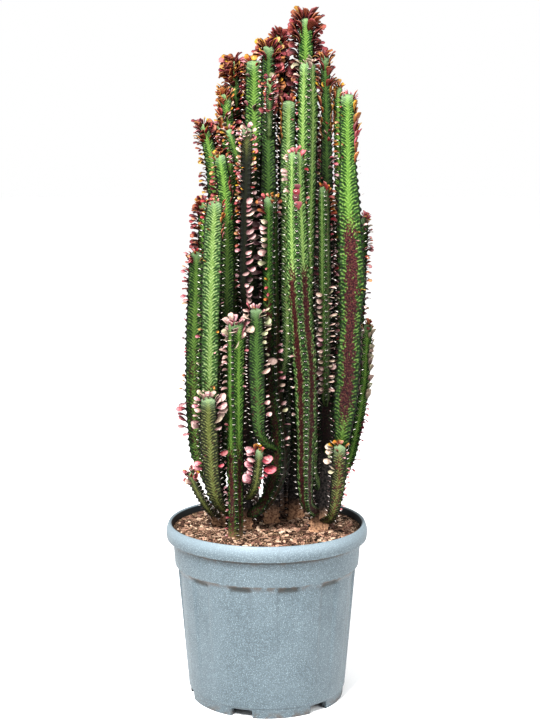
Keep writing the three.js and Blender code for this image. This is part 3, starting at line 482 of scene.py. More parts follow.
def curve_samples(points):
    """Points on the centripetal Catmull-Rom curve: a cubic in t between each pair, with matched slopes."""
    before = 2 * points[0] - points[1]
    beyond = 2 * points[-1] - points[-2]
    p = np.vstack([before, points, beyond])
    gaps = np.linalg.norm(np.diff(p, axis=0), axis=1)[:, None] ** 0.5
    p0, p1, p2, p3 = p[:-3], p[1:-2], p[2:-1], p[3:]
    g0, g1, g2 = gaps[:-2], gaps[1:-1], gaps[2:]
    slope1 = ((p1 - p0) / g0 - (p2 - p0) / (g0 + g1) + (p2 - p1) / g1) * g1
    slope2 = ((p2 - p1) / g1 - (p3 - p1) / (g1 + g2) + (p3 - p2) / g2) * g1
    t = np.linspace(0, 1, STEPS, endpoint=False)[None, :, None]
    cubic = (2 * p1 - 2 * p2 + slope1 + slope2)[:, None] * t ** 3
    square = (3 * p2 - 3 * p1 - 2 * slope1 - slope2)[:, None] * t ** 2
    samples = cubic + square + slope1[:, None] * t + p1[:, None]
    return np.vstack([samples.reshape(-1, 3), points[-1:]])


class Line:
    """A stem's middle line, measured from its tip downwards, with the radius of its ribs."""

    def __init__(self, name):
        # The table's middle lies a little in front of the pot's, and a branch starts inside its parent
        stem = STEMS[name]
        path = np.array(stem["path"], dtype=float) * MM
        path[:, 1] -= BUSH_FORWARD * MM
        self.parent_radius = 0.0
        if "parent" in stem:
            parent = LINES[stem["parent"]]
            depth = np.interp(stem["at"] * MM, parent.samples[:, 2], parent.depths)
            root = np.append(parent.place(depth), path[0, 3])
            path = np.vstack([root, path])
            self.parent_radius = float(parent.radius(depth))
        self.samples = curve_samples(path[:, :3])
        run = np.append(0, np.cumsum(np.linalg.norm(np.diff(self.samples, axis=0), axis=1)))
        self.length = run[-1]
        self.depths = self.length - run
        self.stops = self.depths[::STEPS]
        self.radii = path[:, 3]
        self.main = "parent" not in stem
        self.turn, self.twist = np.radians(stem["turn"]), np.radians(stem.get("twist", 0))
        self.seed = list(STEMS).index(name)

    def place(self, depth):
        """Points on the line at these distances below the tip."""
        depths, samples = self.depths[::-1], self.samples[::-1]
        return np.stack([np.interp(depth, depths, samples[:, k]) for k in range(3)], axis=-1)

    def radius(self, depth):
        """Radius of the ribs, between those given in the table."""
        return np.interp(depth, self.stops[::-1], self.radii[::-1])

    def axis(self, depth):
        """Direction of growth: the line's slope between 2 mm below a point and 2 mm above it."""
        inside = np.clip(depth, SLOPE_REACH, self.length - SLOPE_REACH)
        return unit(self.place(inside - SLOPE_REACH) - self.place(inside + SLOPE_REACH))

    def towards(self, depth, angle):
        """Directions at right angles to the line: (cos, sin, 0) leaned with the shortest turn from +Z."""
        angle = angle + self.turn + self.twist * (1 - depth / self.length)
        a, b, c = np.moveaxis(self.axis(depth), -1, 0)
        x, y = np.cos(angle), np.sin(angle)
        down = -(a * x + b * y)
        return np.stack([x + a * down / (1 + c), y + b * down / (1 + c), down], axis=-1)


LINES = {}
for name in STEMS:
    LINES[name] = Line(name)
print("the longest stem is", round(max(line.length for line in LINES.values()) / MM), "mm long")

# %% [markdown]
# Each rib has a row of teeth, 8 to 13 mm apart and closer together near the growing tip, where the stem
# hasn't stretched yet. Counting teeth down from the tip gives a number that grows evenly from tooth to tooth.
# The teeth of the three ribs take turns, each a third of the way after the last, as they do on the real
# plant.

# %% Teeth
YOUNG = 70 * MM  # depth below the tip over which a stem stretches to its full tooth spacing


def tooth_gap(line, depth):
    """Spacing of the teeth: 6 mm and three tenths of the radius, two thirds of that at the tip."""
    return (6 * MM + 0.3 * line.radius(depth)) * (1 - 0.34 * np.exp(-depth / YOUNG))


def tooth_scale(line):
    """Depths along a stem and the number of teeth above each."""
    depths = np.linspace(0, line.length, int(line.length / MM) + 1)
    return depths, np.append(0, np.cumsum(np.diff(depths) / tooth_gap(line, depths[1:])))


def tooth_depths(line, rib):
    """Depth of each tooth on a rib."""
    depths, numbers = tooth_scale(line)
    return np.interp(np.arange(1, int(numbers[-1])) + rib / 3 - 0.5, numbers, depths)


print("teeth in all:", sum(len(tooth_depths(line, rib)) for line in LINES.values() for rib in range(3)))

# %% [markdown]
# A stem's section is a triangle with slightly hollow faces. Its radius at an angle from the nearest rib is
# v / cos(60 degrees - angle) to a power that makes it 1 on the crest and v in the middle of a face, and a
# little rounding is taken off the crest. Along the stem the section follows the girth: the tip narrows a
# little and closes in a flat dome, a branch starts with a narrow neck inside its parent, and slow swellings
# run down the whole stem. A living stem is drawn a little fuller than the plain solid that it stands for.

# %% Section and girth of a stem
VALLEY = 0.45  # radius of the middle of a face, as a part of the rib's radius
HALF_RIB = np.radians(60)  # from a crest to the middle of a face
CREST_ROUNDING = np.radians(4)
FULLNESS = 1.08  # of the skin over the plain solid


def smooth(value, low, high):
    """0 below low, 1 above high, and 3t^2 - 2t^3 between them."""
    t = np.clip((value - low) / (high - low), 0, 1)
    return t * t * (3 - 2 * t)


def section(angle, valley):
    """Radius over the rib's: valley / cos(60 deg - a)^k, k = log2(1/valley), with a little rounded crest."""
    eased = np.sqrt(angle ** 2 + CREST_ROUNDING ** 2) - CREST_ROUNDING
    eased = eased * HALF_RIB / (np.sqrt(HALF_RIB ** 2 + CREST_ROUNDING ** 2) - CREST_ROUNDING)
    return valley / np.cos(HALF_RIB - eased) ** np.log2(1 / valley)


def girth(line, depth):
    """The rib's radius times the tip's taper 0.84 + 0.16 t^0.7, its round end (1 - (1 - u)^2)^(1/2), the neck
    and slow swellings of 2 percent, with t and u the depth over 2.6 and over 0.4 of the tip's radius. A neck
    widens from 0.55 to 1 over 1.6 of the branch's radius, starting just inside its parent's skin."""
    tip = line.radius(0)
    taper = 0.84 + 0.16 * np.clip(depth / (2.6 * tip), 0, 1) ** 0.7
    dome = taper * np.sqrt(1 - (1 - np.clip(depth / (0.4 * tip), 0, 1)) ** 2)
    root = line.length - depth
    surface = 0.8 * line.parent_radius
    neck = 1.0 if line.main else 0.55 + 0.45 * smooth(root, surface, surface + 1.6 * line.radii[1])
    short_swell = 0.025 * np.sin(depth / (17 * MM) + line.seed)
    long_swell = 0.02 * np.sin(depth / (41 * MM) + 2 * line.seed)
    return FULLNESS * line.radius(depth) * dome * neck * (1 + short_swell + long_swell)


print("a section's radius at 0, 16 and 60 degrees:", np.round(section(np.radians([0, 16, 60]), VALLEY), 2))

# %% [markdown]
# The skin is a grid with four rows to a tooth, and its columns are closest near the crests, where the shape
# turns sharply. Between two teeth the crest dips in an arc, and a low fold runs from each tooth down into the
# face. The oldest wood near the soil has turned to bark, which is rounder and fuller and has lower teeth.

# %% Rows and columns of a stem
ROWS_A_TOOTH = 4
RIB_ANGLES = np.radians([-60, -33, -13, -4, 4, 13, 33])  # columns of one rib, the next rib follows
TOOTH_HEIGHT = 0.25  # of the radius
TOOTH_LIFT = 0.4  # the part of a tooth that stands above the plain crest
TOOTH_SPREAD = np.radians(12)
FOLD_HEIGHT = 0.035  # of the folds that run from each tooth into the face
FOLD_PLACE = 0.45  # radians from the crest
FOLD_SPREAD = 0.3
NECK_ROUNDNESS = 0.3  # what the valley gains at a branch's neck
BARK_ROUNDNESS = 0.14
TIP_ROUNDNESS = 0.08
BARK_TOP = 430  # mm, where bark ends
BARK_TOPS = {"main_front": 325, "main_left": 350, "main_right": 470}  # mm, on these stems
BARK_FADE = 70 * MM


def tooth_wave(number):
    """0 at a tooth and -1 between two: minus the sine of half a turn from tooth to tooth, leaning upwards."""
    return -np.sin(np.pi * (number % 1) ** 0.8)


def barkiness(name, place):
    """1 where the foot of a main stem has turned to bark, fading to 0 over the last 70 mm."""
    if not LINES[name].main:
        return 0 * place[..., 2]
    top = BARK_TOPS.get(name, BARK_TOP) * MM
    return 1 - smooth(place[..., 2], top - BARK_FADE, top)


def rib_waver(line, depth):
    """The ribs wander by 2 degrees either way: a sine of the depth over 29 mm."""
    return np.radians(2) * np.sin(depth / (29 * MM) + line.seed)


def stem_grid(name, line):
    """Points of a stem's skin by rows up the stem and columns round it, and the rows' depths and tooth
    numbers. A point lies at the girth times the section plus the relief of teeth and folds, which fades out
    at the tip, on bark and at the neck."""
    depths, numbers = tooth_scale(line)
    start = 0.35 * line.parent_radius
    rows = np.interp(np.arange(1, int(numbers[-1] * ROWS_A_TOOTH)) / ROWS_A_TOOTH, numbers, depths)
    rows = np.append(0.2 * MM, rows[rows < line.length - start])[::-1]
    number = np.interp(rows, depths, numbers)[:, None]
    rib = np.repeat(np.arange(3), len(RIB_ANGLES))[None, :]
    near = np.tile(RIB_ANGLES, 3)[None, :]
    depth = rows[:, None] + 0 * near
    centre = line.place(depth)
    bark = barkiness(name, centre)
    root = line.length - depth
    neck = 0 if line.main else 1 - smooth(root, line.parent_radius, line.parent_radius + 1.5 * line.radii[1])
    young = 1 - smooth(depth, 0, 2 * line.radius(0))
    valley = VALLEY + NECK_ROUNDNESS * neck + BARK_ROUNDNESS * bark + TIP_ROUNDNESS * young
    own = number - rib / 3 + 0.5
    teeth = TOOTH_HEIGHT * (tooth_wave(own) + TOOTH_LIFT) * np.exp(-(near / TOOTH_SPREAD) ** 2)
    lag = 0.5 * np.abs(near) / HALF_RIB
    fold_share = np.exp(-((np.abs(near) - FOLD_PLACE) / FOLD_SPREAD) ** 2)
    folds = FOLD_HEIGHT * np.cos(TURN * (own - lag)) * fold_share
    relief = (teeth + folds) * smooth(depth, 0, 0.5 * line.radius(0)) * (1 - 0.5 * bark) * (1 - neck)
    reach = girth(line, depth) * (section(np.abs(near), valley) + relief) * (1 + 0.06 * bark)
    points = centre + reach[..., None] * line.towards(depth, near + rib * TURN / 3 + rib_waver(line, depth))
    return points, rows, number


tallest_grid = stem_grid("main_tallest", LINES["main_tallest"])[0]
print("the tallest stem's skin has", tallest_grid.shape[0], "rows and", tallest_grid.shape[1], "columns")

# %% [markdown]
# The pattern of the skin follows the stem, so each skin carries its own UV map. One side of it counts across
# a rib's two faces, and the other counts that rib's teeth. The map's seams lie in the middle of the faces,
# where the pattern is plain.

# %% Pattern coordinates of a stem
def pattern_corners(number, rows):
    """UV of each face corner: across, from -1 to 1 over a rib's two faces with 0 on the crest, and the tooth
    number of that rib. The quads come first, then the triangles at the foot and at the tip."""
    across = np.append(RIB_ANGLES, HALF_RIB) / HALF_RIB
    width = len(RIB_ANGLES)
    row, column = np.meshgrid(np.arange(rows - 1), np.arange(3 * width), indexing="ij")
    rib, k = column // width, column % width
    corners = [(row, k), (row, k + 1), (row + 1, k + 1), (row + 1, k)]
    uv = [np.stack([across[c], number[r, 0] - (rib / 3 - 0.5)], axis=-1) for r, c in corners]
    parts = [np.stack(uv, axis=2).reshape(-1, 2)]
    rib, k = np.arange(3 * width) // width, np.arange(3 * width) % width
    places = [0.5 * (across[k] + across[k + 1]), across[k], across[k + 1]]
    for end, order in ((0, (0, 2, 1)), (rows - 1, (0, 1, 2))):
        tooth = number[end, 0] - (rib / 3 - 0.5)
        parts.append(np.stack([np.stack([places[o], tooth], axis=-1) for o in order], axis=1).reshape(-1, 2))
    return np.vstack(parts)


print("columns round a stem:", 3 * len(RIB_ANGLES))

# %% [markdown]
# Four numbers kept at each point of a skin say where the stem is new, darkened, bark or maroon, because these
# follow its growth and no repeating pattern. New growth is at the tip, bark and maroon are placed by height
# as the photograph shows them, and the skin darkens downwards, partly with age and partly as painted shade
# deep in the bush. A shader reads such numbers as attributes.

# %% Stem skins
# Lowest and highest height in mm and strength of the maroon stripe down the faces of some stems
MAROON = {
    "branch_front_pale": (300, 690, 1.0),
    "branch_right_big": (520, 760, 1.0),
    "main_front": (330, 400, 0.95),
    "branch_front_left": (330, 500, 0.7),
    "branch_far_left": (400, 560, 0.6),
    "branch_middle_front": (300, 640, 0.8),
    "branch_mid_low": (430, 520, 0.5),
    "main_inner": (300, 600, 0.9),
    "main_left": (300, 520, 0.8),
    "main_tallest": (300, 640, 0.7),
    "main_middle": (300, 620, 0.9),
    "main_right": (300, 640, 0.9),
    "branch_low_right": (300, 420, 0.6),
    "branch_front_olive": (300, 440, 0.45),
}
MAROON_FADE = 110  # mm above and below
NEW_SHARE = 0.55  # of pale new growth at the very tip
NEW_DEPTH = 12 * MM


def maroon_share(name, height):
    """How maroon the middle of the faces is, fading out over 110 mm at the top and bottom."""
    low, high, share = MAROON.get(name, (0, 1, 0))
    rising = smooth(height, (low - MAROON_FADE) * MM, low * MM)
    falling = 1 - smooth(height, high * MM, (high + MAROON_FADE) * MM)
    return share * rising * falling


def age_and_shade_share(name, depth):
    """How far the skin is darkened, partly by age and partly as painted shade: slowly over half a metre,
    or over the stretch that the table gives.
    """
    # the slow darkening with depth is partly age and partly painted shade low in the bush
    most = 0.7 if LINES[name].main and name != "main_front" else 0.4
    slow = most * smooth(depth, 60 * MM, 520 * MM)
    low, high, share = STEMS[name].get("shade_and_age", (0, 1, 0))
    return np.maximum(slow, share * smooth(depth, low * MM, high * MM))


def make_stem(name, material):
    """The skin of one stem, in the place of its solid."""
    line = LINES[name]
    points, rows, number = stem_grid(name, line)
    columns = points.shape[1]
    quads, triangles = skin_faces(1, len(rows), columns)
    ends = np.stack([line.place(rows[0]), line.place(0.0)])
    points = np.vstack([points.reshape(-1, 3), ends])
    depth = np.append(np.repeat(rows, columns), [rows[0], 0])
    floats = {
        "young": NEW_SHARE * np.exp(-(depth / NEW_DEPTH) ** 2),
        # the age number: darkening for age and as painted shade
        "age_and_shade": age_and_shade_share(name, depth),
        "bark": barkiness(name, points),
        "maroon": maroon_share(name, points[:, 2]),
    }
    return make_piece(f"{name}_skin", points, quads, triangles, material,
                      (name,), pattern_corners(number, len(rows)), floats)


# darkened by age and by painted shade
shade_and_age = age_and_shade_share("main_tallest", np.array([0.1, 0.3, 0.5]))
print("the tallest stem has aged by", np.round(shade_and_age, 2), "at 100, 300 and 500 mm below its tip")

# %% [markdown]
# The skin of a euphorbia is living green tissue under a thin waxy film, so it has a soft sheen and no hard
# gloss. Each face is palest along its middle and carries a feathered pattern: dark and light strokes, about
# 5 mm apart, that start near the middle and rise outwards to the ribs. The specks of a real skin are under a
# millimetre, too fine to show from here. They are drawn as a noise of 3.4 mm, which also breaks up the
# strokes, and inside the maroon as one of 2.2 mm.

# %% Strokes on the stems
# Of the plain face, the middle of a face, its dark strokes, its folds and its pale veins
SKIN_COLOURS = {
    "pale": ("#2D4C1D", "#6A8246", "#0C1C09", "#577B45", "#A1B07E"),
    "green": ("#18370D", "#4E6A2C", "#071403", "#395C25", "#7A934E"),
    # the dark tone is a darker green skin, painted darker still as shade for stems deep in the bush
    "dark": ("#10260A", "#344C20", "#050B04", "#264318", "#587238"),
    "olive": ("#1A1F0B", "#454A22", "#090C04", "#2E3717", "#6E7048"),
}
BLOTCH_SIZE = 8 * MM
SPECK_SIZE = 3.4 * MM
FINE_SIZE = 2.2 * MM
DASHES_A_TOOTH = 2
DASH_RISE = 0.9  # in teeth, from the middle of a face to its rib


def stroke_wave(tree, across, tooth, blotch):
    """Rising strokes that wander: sin(2 pi n (tooth - rise x across) + 9 blotch)."""
    lagged = add(tree, "Math", across, -DASH_RISE, tooth, operation="MULTIPLY_ADD")
    turns = add(tree, "Math", lagged, DASHES_A_TOOTH * TURN)
    phase = add(tree, "Math", blotch, 9.0, turns, operation="MULTIPLY_ADD")
    return add(tree, "Math", phase, operation="SINE")


def feathering(tree, across, ragged, wave, speck):
    """Dark wedges that narrow from the rib inwards, where wave + 6.5 speck - 1.6 across is high, and pale
    veins where wave + 6.5 speck is low. Neither crosses the crest, and the wedges are faint in the middle."""
    rough = add(tree, "Math", speck, 6.5, wave, operation="MULTIPLY_ADD")
    tapered = add(tree, "Math", across, -1.6, rough, operation="MULTIPLY_ADD")
    off_crest = add(tree, "MapRange", across, 0.05, 0.16)
    off_middle = add(tree, "MapRange", ragged, 0.9, 0.5, 0.3, 1.0)
    dark = add(tree, "MapRange", tapered, 3.0, 3.9, 0.0, 0.85)
    light = add(tree, "MapRange", rough, 3.0, 1.8, 0.0, 0.6)
    kept = add(tree, "Math", off_crest, off_middle)
    return (add(tree, "Math", dark, kept),
            add(tree, "Math", light, off_crest))


print("strokes from tooth to tooth:", DASHES_A_TOOTH)

# %% [markdown]
# Between the teeth the skin sinks into pockets, painted dark as shade, and a fold runs from each tooth
# into the face, painted lighter where it stands up as painted light. Old faces have a maroon stripe that
# begins as specks. The foot of a main stem has turned to cracked bark, grey at first and corky and tan where
# it meets the soil.

# %% Folds, maroon and bark
MAROON_RED = "#391118"
MAROON_SHADE = "#18070B"
MAROON_TAN = "#57332C"
BARK_DARK = "#070605"
BARK_GREY = "#383230"
CORK_BROWN = "#5E4436"
CORK_TAN = "#B08C70"
CORK_FULL = 300 * MM  # height below which the bark is all cork
CORK_TOP = 335 * MM


def tooth_pattern(tree, across, tooth, speck):
    """Painted light on the folds at the teeth and painted shade in the pockets between them, from
    cos(2 pi (tooth - 0.4 across)), and the dark scar round each tooth, from the distance to the nearest one."""
    lagged = add(tree, "Math", across, -0.4, tooth, operation="MULTIPLY_ADD")
    turns = add(tree, "Math", lagged, TURN)
    near = add(tree, "Math", turns, operation="COSINE")
    rough = add(tree, "Math", speck, 3.0, near, operation="MULTIPLY_ADD")
    # lighter on the raised folds at the teeth: painted light
    ridge = add(tree, "MapRange", rough, 1.8, 2.6, 0.0, 0.8)
    outer = add(tree, "MapRange", across, 0.65, 0.3)
    # darker in the sunk pockets between the teeth: painted shade
    pocket_shade = add(tree, "MapRange", rough, 1.3, 0.5, 0.0, 0.7)
    rim = add(tree, "MapRange", across, 0.32, 0.12)
    to_tooth = add(tree, "Math", tooth, 0.5, operation="PINGPONG")
    close = add(tree, "MapRange", to_tooth, 0.26, 0.16)
    crest = add(tree, "MapRange", across, 0.17, 0.1)
    return (add(tree, "Math", ridge, outer),
            add(tree, "Math", pocket_shade, rim),
            add(tree, "Math", close, crest))


def maroon_pattern(tree, across, both, speck, fine):
    """The stripe's colour and its share: it keeps to the middle of the face with a torn edge, and where the
    stem's own maroon number is low only the specks above a limit turn maroon."""
    red = add(tree, "ValToRGB", fine, stops=[(0.34, MAROON_SHADE), (0.5, MAROON_RED), (0.68, MAROON_TAN)])
    shifted = add(tree, "Math", both, 0.9, -0.9, operation="MULTIPLY_ADD")
    torn = add(tree, "Math", across, shifted, operation="ADD")
    zone = add(tree, "MapRange", torn, 0.34, 0.5)
    share = add(tree, "Attribute", attribute_name="maroon")
    doubled = add(tree, "Math", speck, 2.0)
    cover = add(tree, "Math", share, 1.3, doubled, operation="MULTIPLY_ADD")
    specks = add(tree, "MapRange", cover, 1.75, 2.05)
    return red, add(tree, "Math", zone, specks)


def bark_pattern(tree, place, speck):
    """Grey bark with dark cracks, and tan cork just above the soil."""
    cracked = add(tree, "ValToRGB", speck, stops=[(0.4, BARK_DARK), (0.66, BARK_GREY)])
    height = add(tree, "SeparateXYZ", place, out="Z")
    low = add(tree, "MapRange", height, CORK_TOP, CORK_FULL)
    fibrous = add(tree, "ValToRGB", speck, stops=[(0.32, CORK_BROWN), (0.6, CORK_TAN)])
    return add(tree, "Mix", low, cracked, fibrous)


print("cork fades out over", round((CORK_TOP - CORK_FULL) / MM), "mm")

# %% [markdown]
# One material holds the whole pattern as layers of colour over the plain face, each mixed in by its own
# share, from the pockets up to the scars at the teeth. The same strokes and folds give the bump a slight
# relief. Each of the four tones of stem gets a copy of it with colours of its own.

# %% Stem finishes
NEW_GROWTH = "#7F9674"
# near black, for old skin and for painted shade
OLD_AND_SHADED_SKIN = "#050703"
TOOTH_SCAR = "#0B0403"


def skin_material(tone):
    """Waxy living skin of a euphorbia stem: satin, with the pattern and its slight relief in one shader."""
    face, middle, dash, fold, vein = SKIN_COLOURS[tone]
    material, tree, shader = new_material(f"waxy_euphorbia_skin_{tone}", 1.4, 0.5, 0.2)
    uv = add(tree, "UVMap", uv_map="pattern")
    across = add(tree, "Math", add(tree, "SeparateXYZ", uv, out="X"), operation="ABSOLUTE")
    tooth = add(tree, "SeparateXYZ", uv, out="Y")
    place = add(tree, "TexCoord", out="Object")
    blotch = add(tree, "TexNoise", place, 1 / BLOTCH_SIZE, 2.0)
    speck = add(tree, "TexNoise", place, 1 / SPECK_SIZE, 2.0)
    fine = add(tree, "TexNoise", place, 1 / FINE_SIZE, 1.0)
    both = add(tree, "Math", blotch, speck, operation="ADD")
    shifted = add(tree, "Math", both, 0.5, -0.5, operation="MULTIPLY_ADD")
    uneven = add(tree, "Math", across, shifted, operation="ADD")
    wave = stroke_wave(tree, across, tooth, blotch)
    ragged = add(tree, "Math", wave, -0.12, uneven, operation="MULTIPLY_ADD")
    band = add(tree, "MapRange", ragged, 0.42, 0.8)
    dark, light = feathering(tree, across, ragged, wave, speck)
    # ridge paints light on the folds, and pocket paints shade between the teeth
    ridge, pocket_shade, scar = tooth_pattern(tree, across, tooth, speck)
    red, stripe = maroon_pattern(tree, across, both, speck, fine)
    # the age number mixes in old skin and painted shade
    titles = ("young", "age_and_shade", "bark")
    young, age_and_shade, bark = [add(tree, "Attribute", attribute_name=title) for title in titles]
    colour = face
    for share, coat in [(pocket_shade, dash), (ridge, fold), (band, middle), (dark, dash), (light, vein),
                        (stripe, red), (young, NEW_GROWTH), (age_and_shade, OLD_AND_SHADED_SKIN),
                        (bark, bark_pattern(tree, place, speck)), (scar, TOOTH_SCAR)]:
        colour = add(tree, "Mix", share, colour, coat)
    tree.links.new(colour, shader.inputs["Base Color"])
    sunk = add(tree, "Math", dark, -0.5, ridge, operation="MULTIPLY_ADD")
    relief = add(tree, "Math", sunk, speck, operation="ADD")
    bump = add(tree, "Bump", Strength=0.6, Distance=0.8 * MM, Height=relief)
    tree.links.new(bump, shader.inputs["Normal"])
    rough = add(tree, "MapRange", speck, 0.2, 0.8, 0.35, 0.65, interpolation_type="LINEAR")
    tree.links.new(rough, shader.inputs["Roughness"])
    return material


skins = {tone: skin_material(tone) for tone in SKIN_COLOURS}
stem_pieces = [make_stem(name, skins[STEMS[name]["tone"]]) for name in STEMS]
print("stem skins:", sum(face_count(piece) for piece in stem_pieces), "triangles")

# %% [markdown]
# Beside each tooth stands a pair of short stiff spines on a dark scar. In the photograph they read as specks
# along every rib, some of them white and some weathered brown. The white of the pale ones is a glint, so they
# are painted pale as a painted highlight. Each spine is a three-sided point, which is enough at a few
# millimetres long, and all the spines of one stem are one piece made by the same skin function.

# %% Spines
SPINE_LENGTH = 5.2 * MM
SPINE_RADIUS = 0.62 * MM
SPINE_SPREAD = np.radians(30)  # of each of the pair to its side
SPINE_LIFT = np.radians(24)  # above level
SPINE_SUNK = 1.2 * MM  # below the skin
SPINE_APART = 0.35 * MM  # each from the middle of the crest
BARE_TIP = 5 * MM
BARE_FOOT = 12 * MM
SPINE_PATCH = 9 * MM  # over which the spines are alike in colour
# pale spines stand for glints: a painted highlight
SPINE_PALE_GLINT = "#E9E0DA"
SPINE_OLD = "#4A2A26"
SPINE_POINT = "#6E4A42"


def make_spines(name, material):
    """The pair of spines at each tooth: a three-sided point each, leaning out, up and to its side."""
    line = LINES[name]
    roots, heads, sides, ups = [], [], [], []
    for rib in range(3):
        depth = tooth_depths(line, rib)
        depth = depth[(depth > BARE_TIP) & (depth < line.length - line.parent_radius - BARE_FOOT)]
        crest = girth(line, depth)[:, None] * (1 + TOOTH_LIFT * TOOTH_HEIGHT)
        turn = rib * TURN / 3 + rib_waver(line, depth)
        out, axis = line.towards(depth, turn), line.axis(depth)
        aside = np.cross(axis, out)
        for way in (-1, 1):
            level = np.cos(SPINE_SPREAD) * out + way * np.sin(SPINE_SPREAD) * aside
            head = np.cos(SPINE_LIFT) * level + np.sin(SPINE_LIFT) * axis
            roots.append(line.place(depth) + (crest - SPINE_SUNK) * out + way * SPINE_APART * aside)
            heads.append(head)
            sides.append(unit(np.cross(head, axis)))
            ups.append(np.cross(head, sides[-1]))
    root, head, side, up = (np.concatenate(each)[:, None] for each in (roots, heads, sides, ups))
    angle = (np.arange(3) * TURN / 3)[None, :, None]
    ring = root + SPINE_RADIUS * (np.cos(angle) * side + np.sin(angle) * up)
    points = np.concatenate([ring, root - 0.2 * MM * head, root + SPINE_LENGTH * head], axis=1)
    quads, triangles = skin_faces(len(points), 1, 3)
    tip = np.tile([0, 0, 0, 0, 1], len(points))
    return make_piece(f"{name}_spines", points.reshape(-1, 3), quads, triangles, material,
                      floats={"tip": tip})


def spine_material():
    """Horn-like spine: slightly glossy, pale on one tooth as a painted highlight, weathered brown on the next,
    with a dark point.
    """
    material, tree, shader = new_material("pale_euphorbia_spine", 1.5, 0.42)
    tip = add(tree, "Attribute", attribute_name="tip")
    brown = add(tree, "MapRange", tip, 0.75, 1.0)
    place = add(tree, "TexCoord", out="Object")
    patch = add(tree, "TexNoise", place, 1 / SPINE_PATCH, 1.0)
    old = add(tree, "MapRange", patch, 0.49, 0.53)
    # the pale colour is a painted highlight, the old colour is real weathering
    base = add(tree, "Mix", old, SPINE_PALE_GLINT, SPINE_OLD)
    tree.links.new(add(tree, "Mix", brown, base, SPINE_POINT), shader.inputs["Base Color"])
    return material


horn = spine_material()
spine_pieces = [make_spines(name, horn) for name in STEMS]
print("spines:", sum(len(piece.data.vertices) for piece in spine_pieces) // 5)

# %% [markdown]
# The leaves are small and fleshy, shaped like a drop with its point at the rib and its round end outwards.
# A leaf is a skin round a middle line that leaves the rib steeply and bends outwards. Its width along that
# line is a power of the distance times the root of what is left of it, so the end is round. All the leaves of
# a stem are computed together, one leaf along the first axis of the array.

# %% Leaf shape
LEAF_ROWS = np.array([0.0, 0.26, 0.56, 0.82, 0.97])  # along the leaf
LEAF_COLUMNS = 6
LEAF_THICKNESS = 1.0 * MM


def leaf_width(s):
    """Half width over the greatest: a narrow root, then s^0.9 times the root of (1 - s^3.4)."""
    return np.clip(s, 0.06, 1) ** 0.9 * np.sqrt(1 - s ** 3.4) / 0.62


def leaf_points(root, out, axis, aside, leaf):
    """Skins of many leaves. The middle line turns from its rise outwards by the bend, at an even rate, so its
    points are differences of the sine and cosine of that angle. A section is an ellipse with raised sides."""
    s = LEAF_ROWS[None, :]
    rise, bend, roll = leaf["rise"][:, None], leaf["bend"][:, None], leaf["roll"][:, None, None]
    angle = rise - bend * s
    scale = leaf["length"][:, None] / bend
    level = scale * (np.sin(rise) - np.sin(angle))
    up = scale * (np.cos(angle) - np.cos(rise))
    middle = root[:, None] + level[..., None] * out[:, None] + up[..., None] * axis[:, None]
    face = -np.sin(angle)[..., None] * out[:, None] + np.cos(angle)[..., None] * axis[:, None]
    side = np.cos(roll) * aside[:, None] + np.sin(roll) * face
    face = np.cos(roll) * face - np.sin(roll) * aside[:, None]
    turn = np.arange(LEAF_COLUMNS) * TURN / LEAF_COLUMNS
    half = (leaf["width"] * leaf["length"])[:, None] * leaf_width(s)
    across = half[..., None] * np.cos(turn)
    thick = 0.5 * LEAF_THICKNESS * np.sqrt(np.clip(leaf_width(s), 0.2, 1))
    cup = leaf["cup"][:, None, None] * half[..., None] * np.cos(turn) ** 2
    high = cup + thick[..., None] * np.sin(turn)
    skins = middle[:, :, None] + across[..., None] * side[:, :, None] + high[..., None] * face[:, :, None]
    count = len(root)
    ends = np.stack([middle[:, 0], middle[:, -1] + 0.01 * (middle[:, -1] - middle[:, -2])], axis=1)
    return np.concatenate([skins.reshape(count, -1, 3), ends], axis=1)


widths = np.round(leaf_width(LEAF_ROWS), 2)
print("width of a leaf along its length, over the greatest:", widths)

# %% [markdown]
# Leaves crowd round every growing tip and stand in rows down the ribs below it. The photograph shows six
# habits: upright leaves of a crown, tufts that point every way, leaves that arch outwards, broad ones that
# lie on the stem like shingles, oval ones that stand out, and ledges that are seen from their edge. Each leaf
# draws its own numbers around those of its kind, from a seeded generator, so every run gives the same plant.

# %% Leaf kinds and numbers
# Half the width over the length, the rise above level at the rib and the bend outwards in degrees, how far
# the sides are cupped over the half width, the roll towards the light and the spread to either side of the
# rib, both in radians
LEAF_KINDS = {
    "crown": dict(width=0.30, rise=70, bend=52, cup=0.32, roll=0.6, spread=0.3),
    "tuft": dict(width=0.31, rise=58, bend=60, cup=0.32, roll=0.7, spread=1.1),
    "arc": dict(width=0.27, rise=52, bend=86, cup=0.34, roll=0.7, spread=0.22),
    "shingle": dict(width=0.40, rise=80, bend=18, cup=0.22, roll=0.3, spread=0.12),
    "oval": dict(width=0.34, rise=34, bend=46, cup=0.16, roll=0.7, spread=0.2),
    "ledge": dict(width=0.33, rise=14, bend=40, cup=0.12, roll=0.7, spread=0.14),
}
APEX_LEAVES = 6
LEAFLESS_FOOT = 40 * MM
YOUNG_LEAF = 18 * MM  # depth over which leaves stand more upright
# leaves get painted shade, with its full share from this depth below the tip
DEEP_LEAF = 60 * MM  # depth from which a leaf may be fully shaded
SCATTER = 6  # mm that crowded leaves stray along the rib


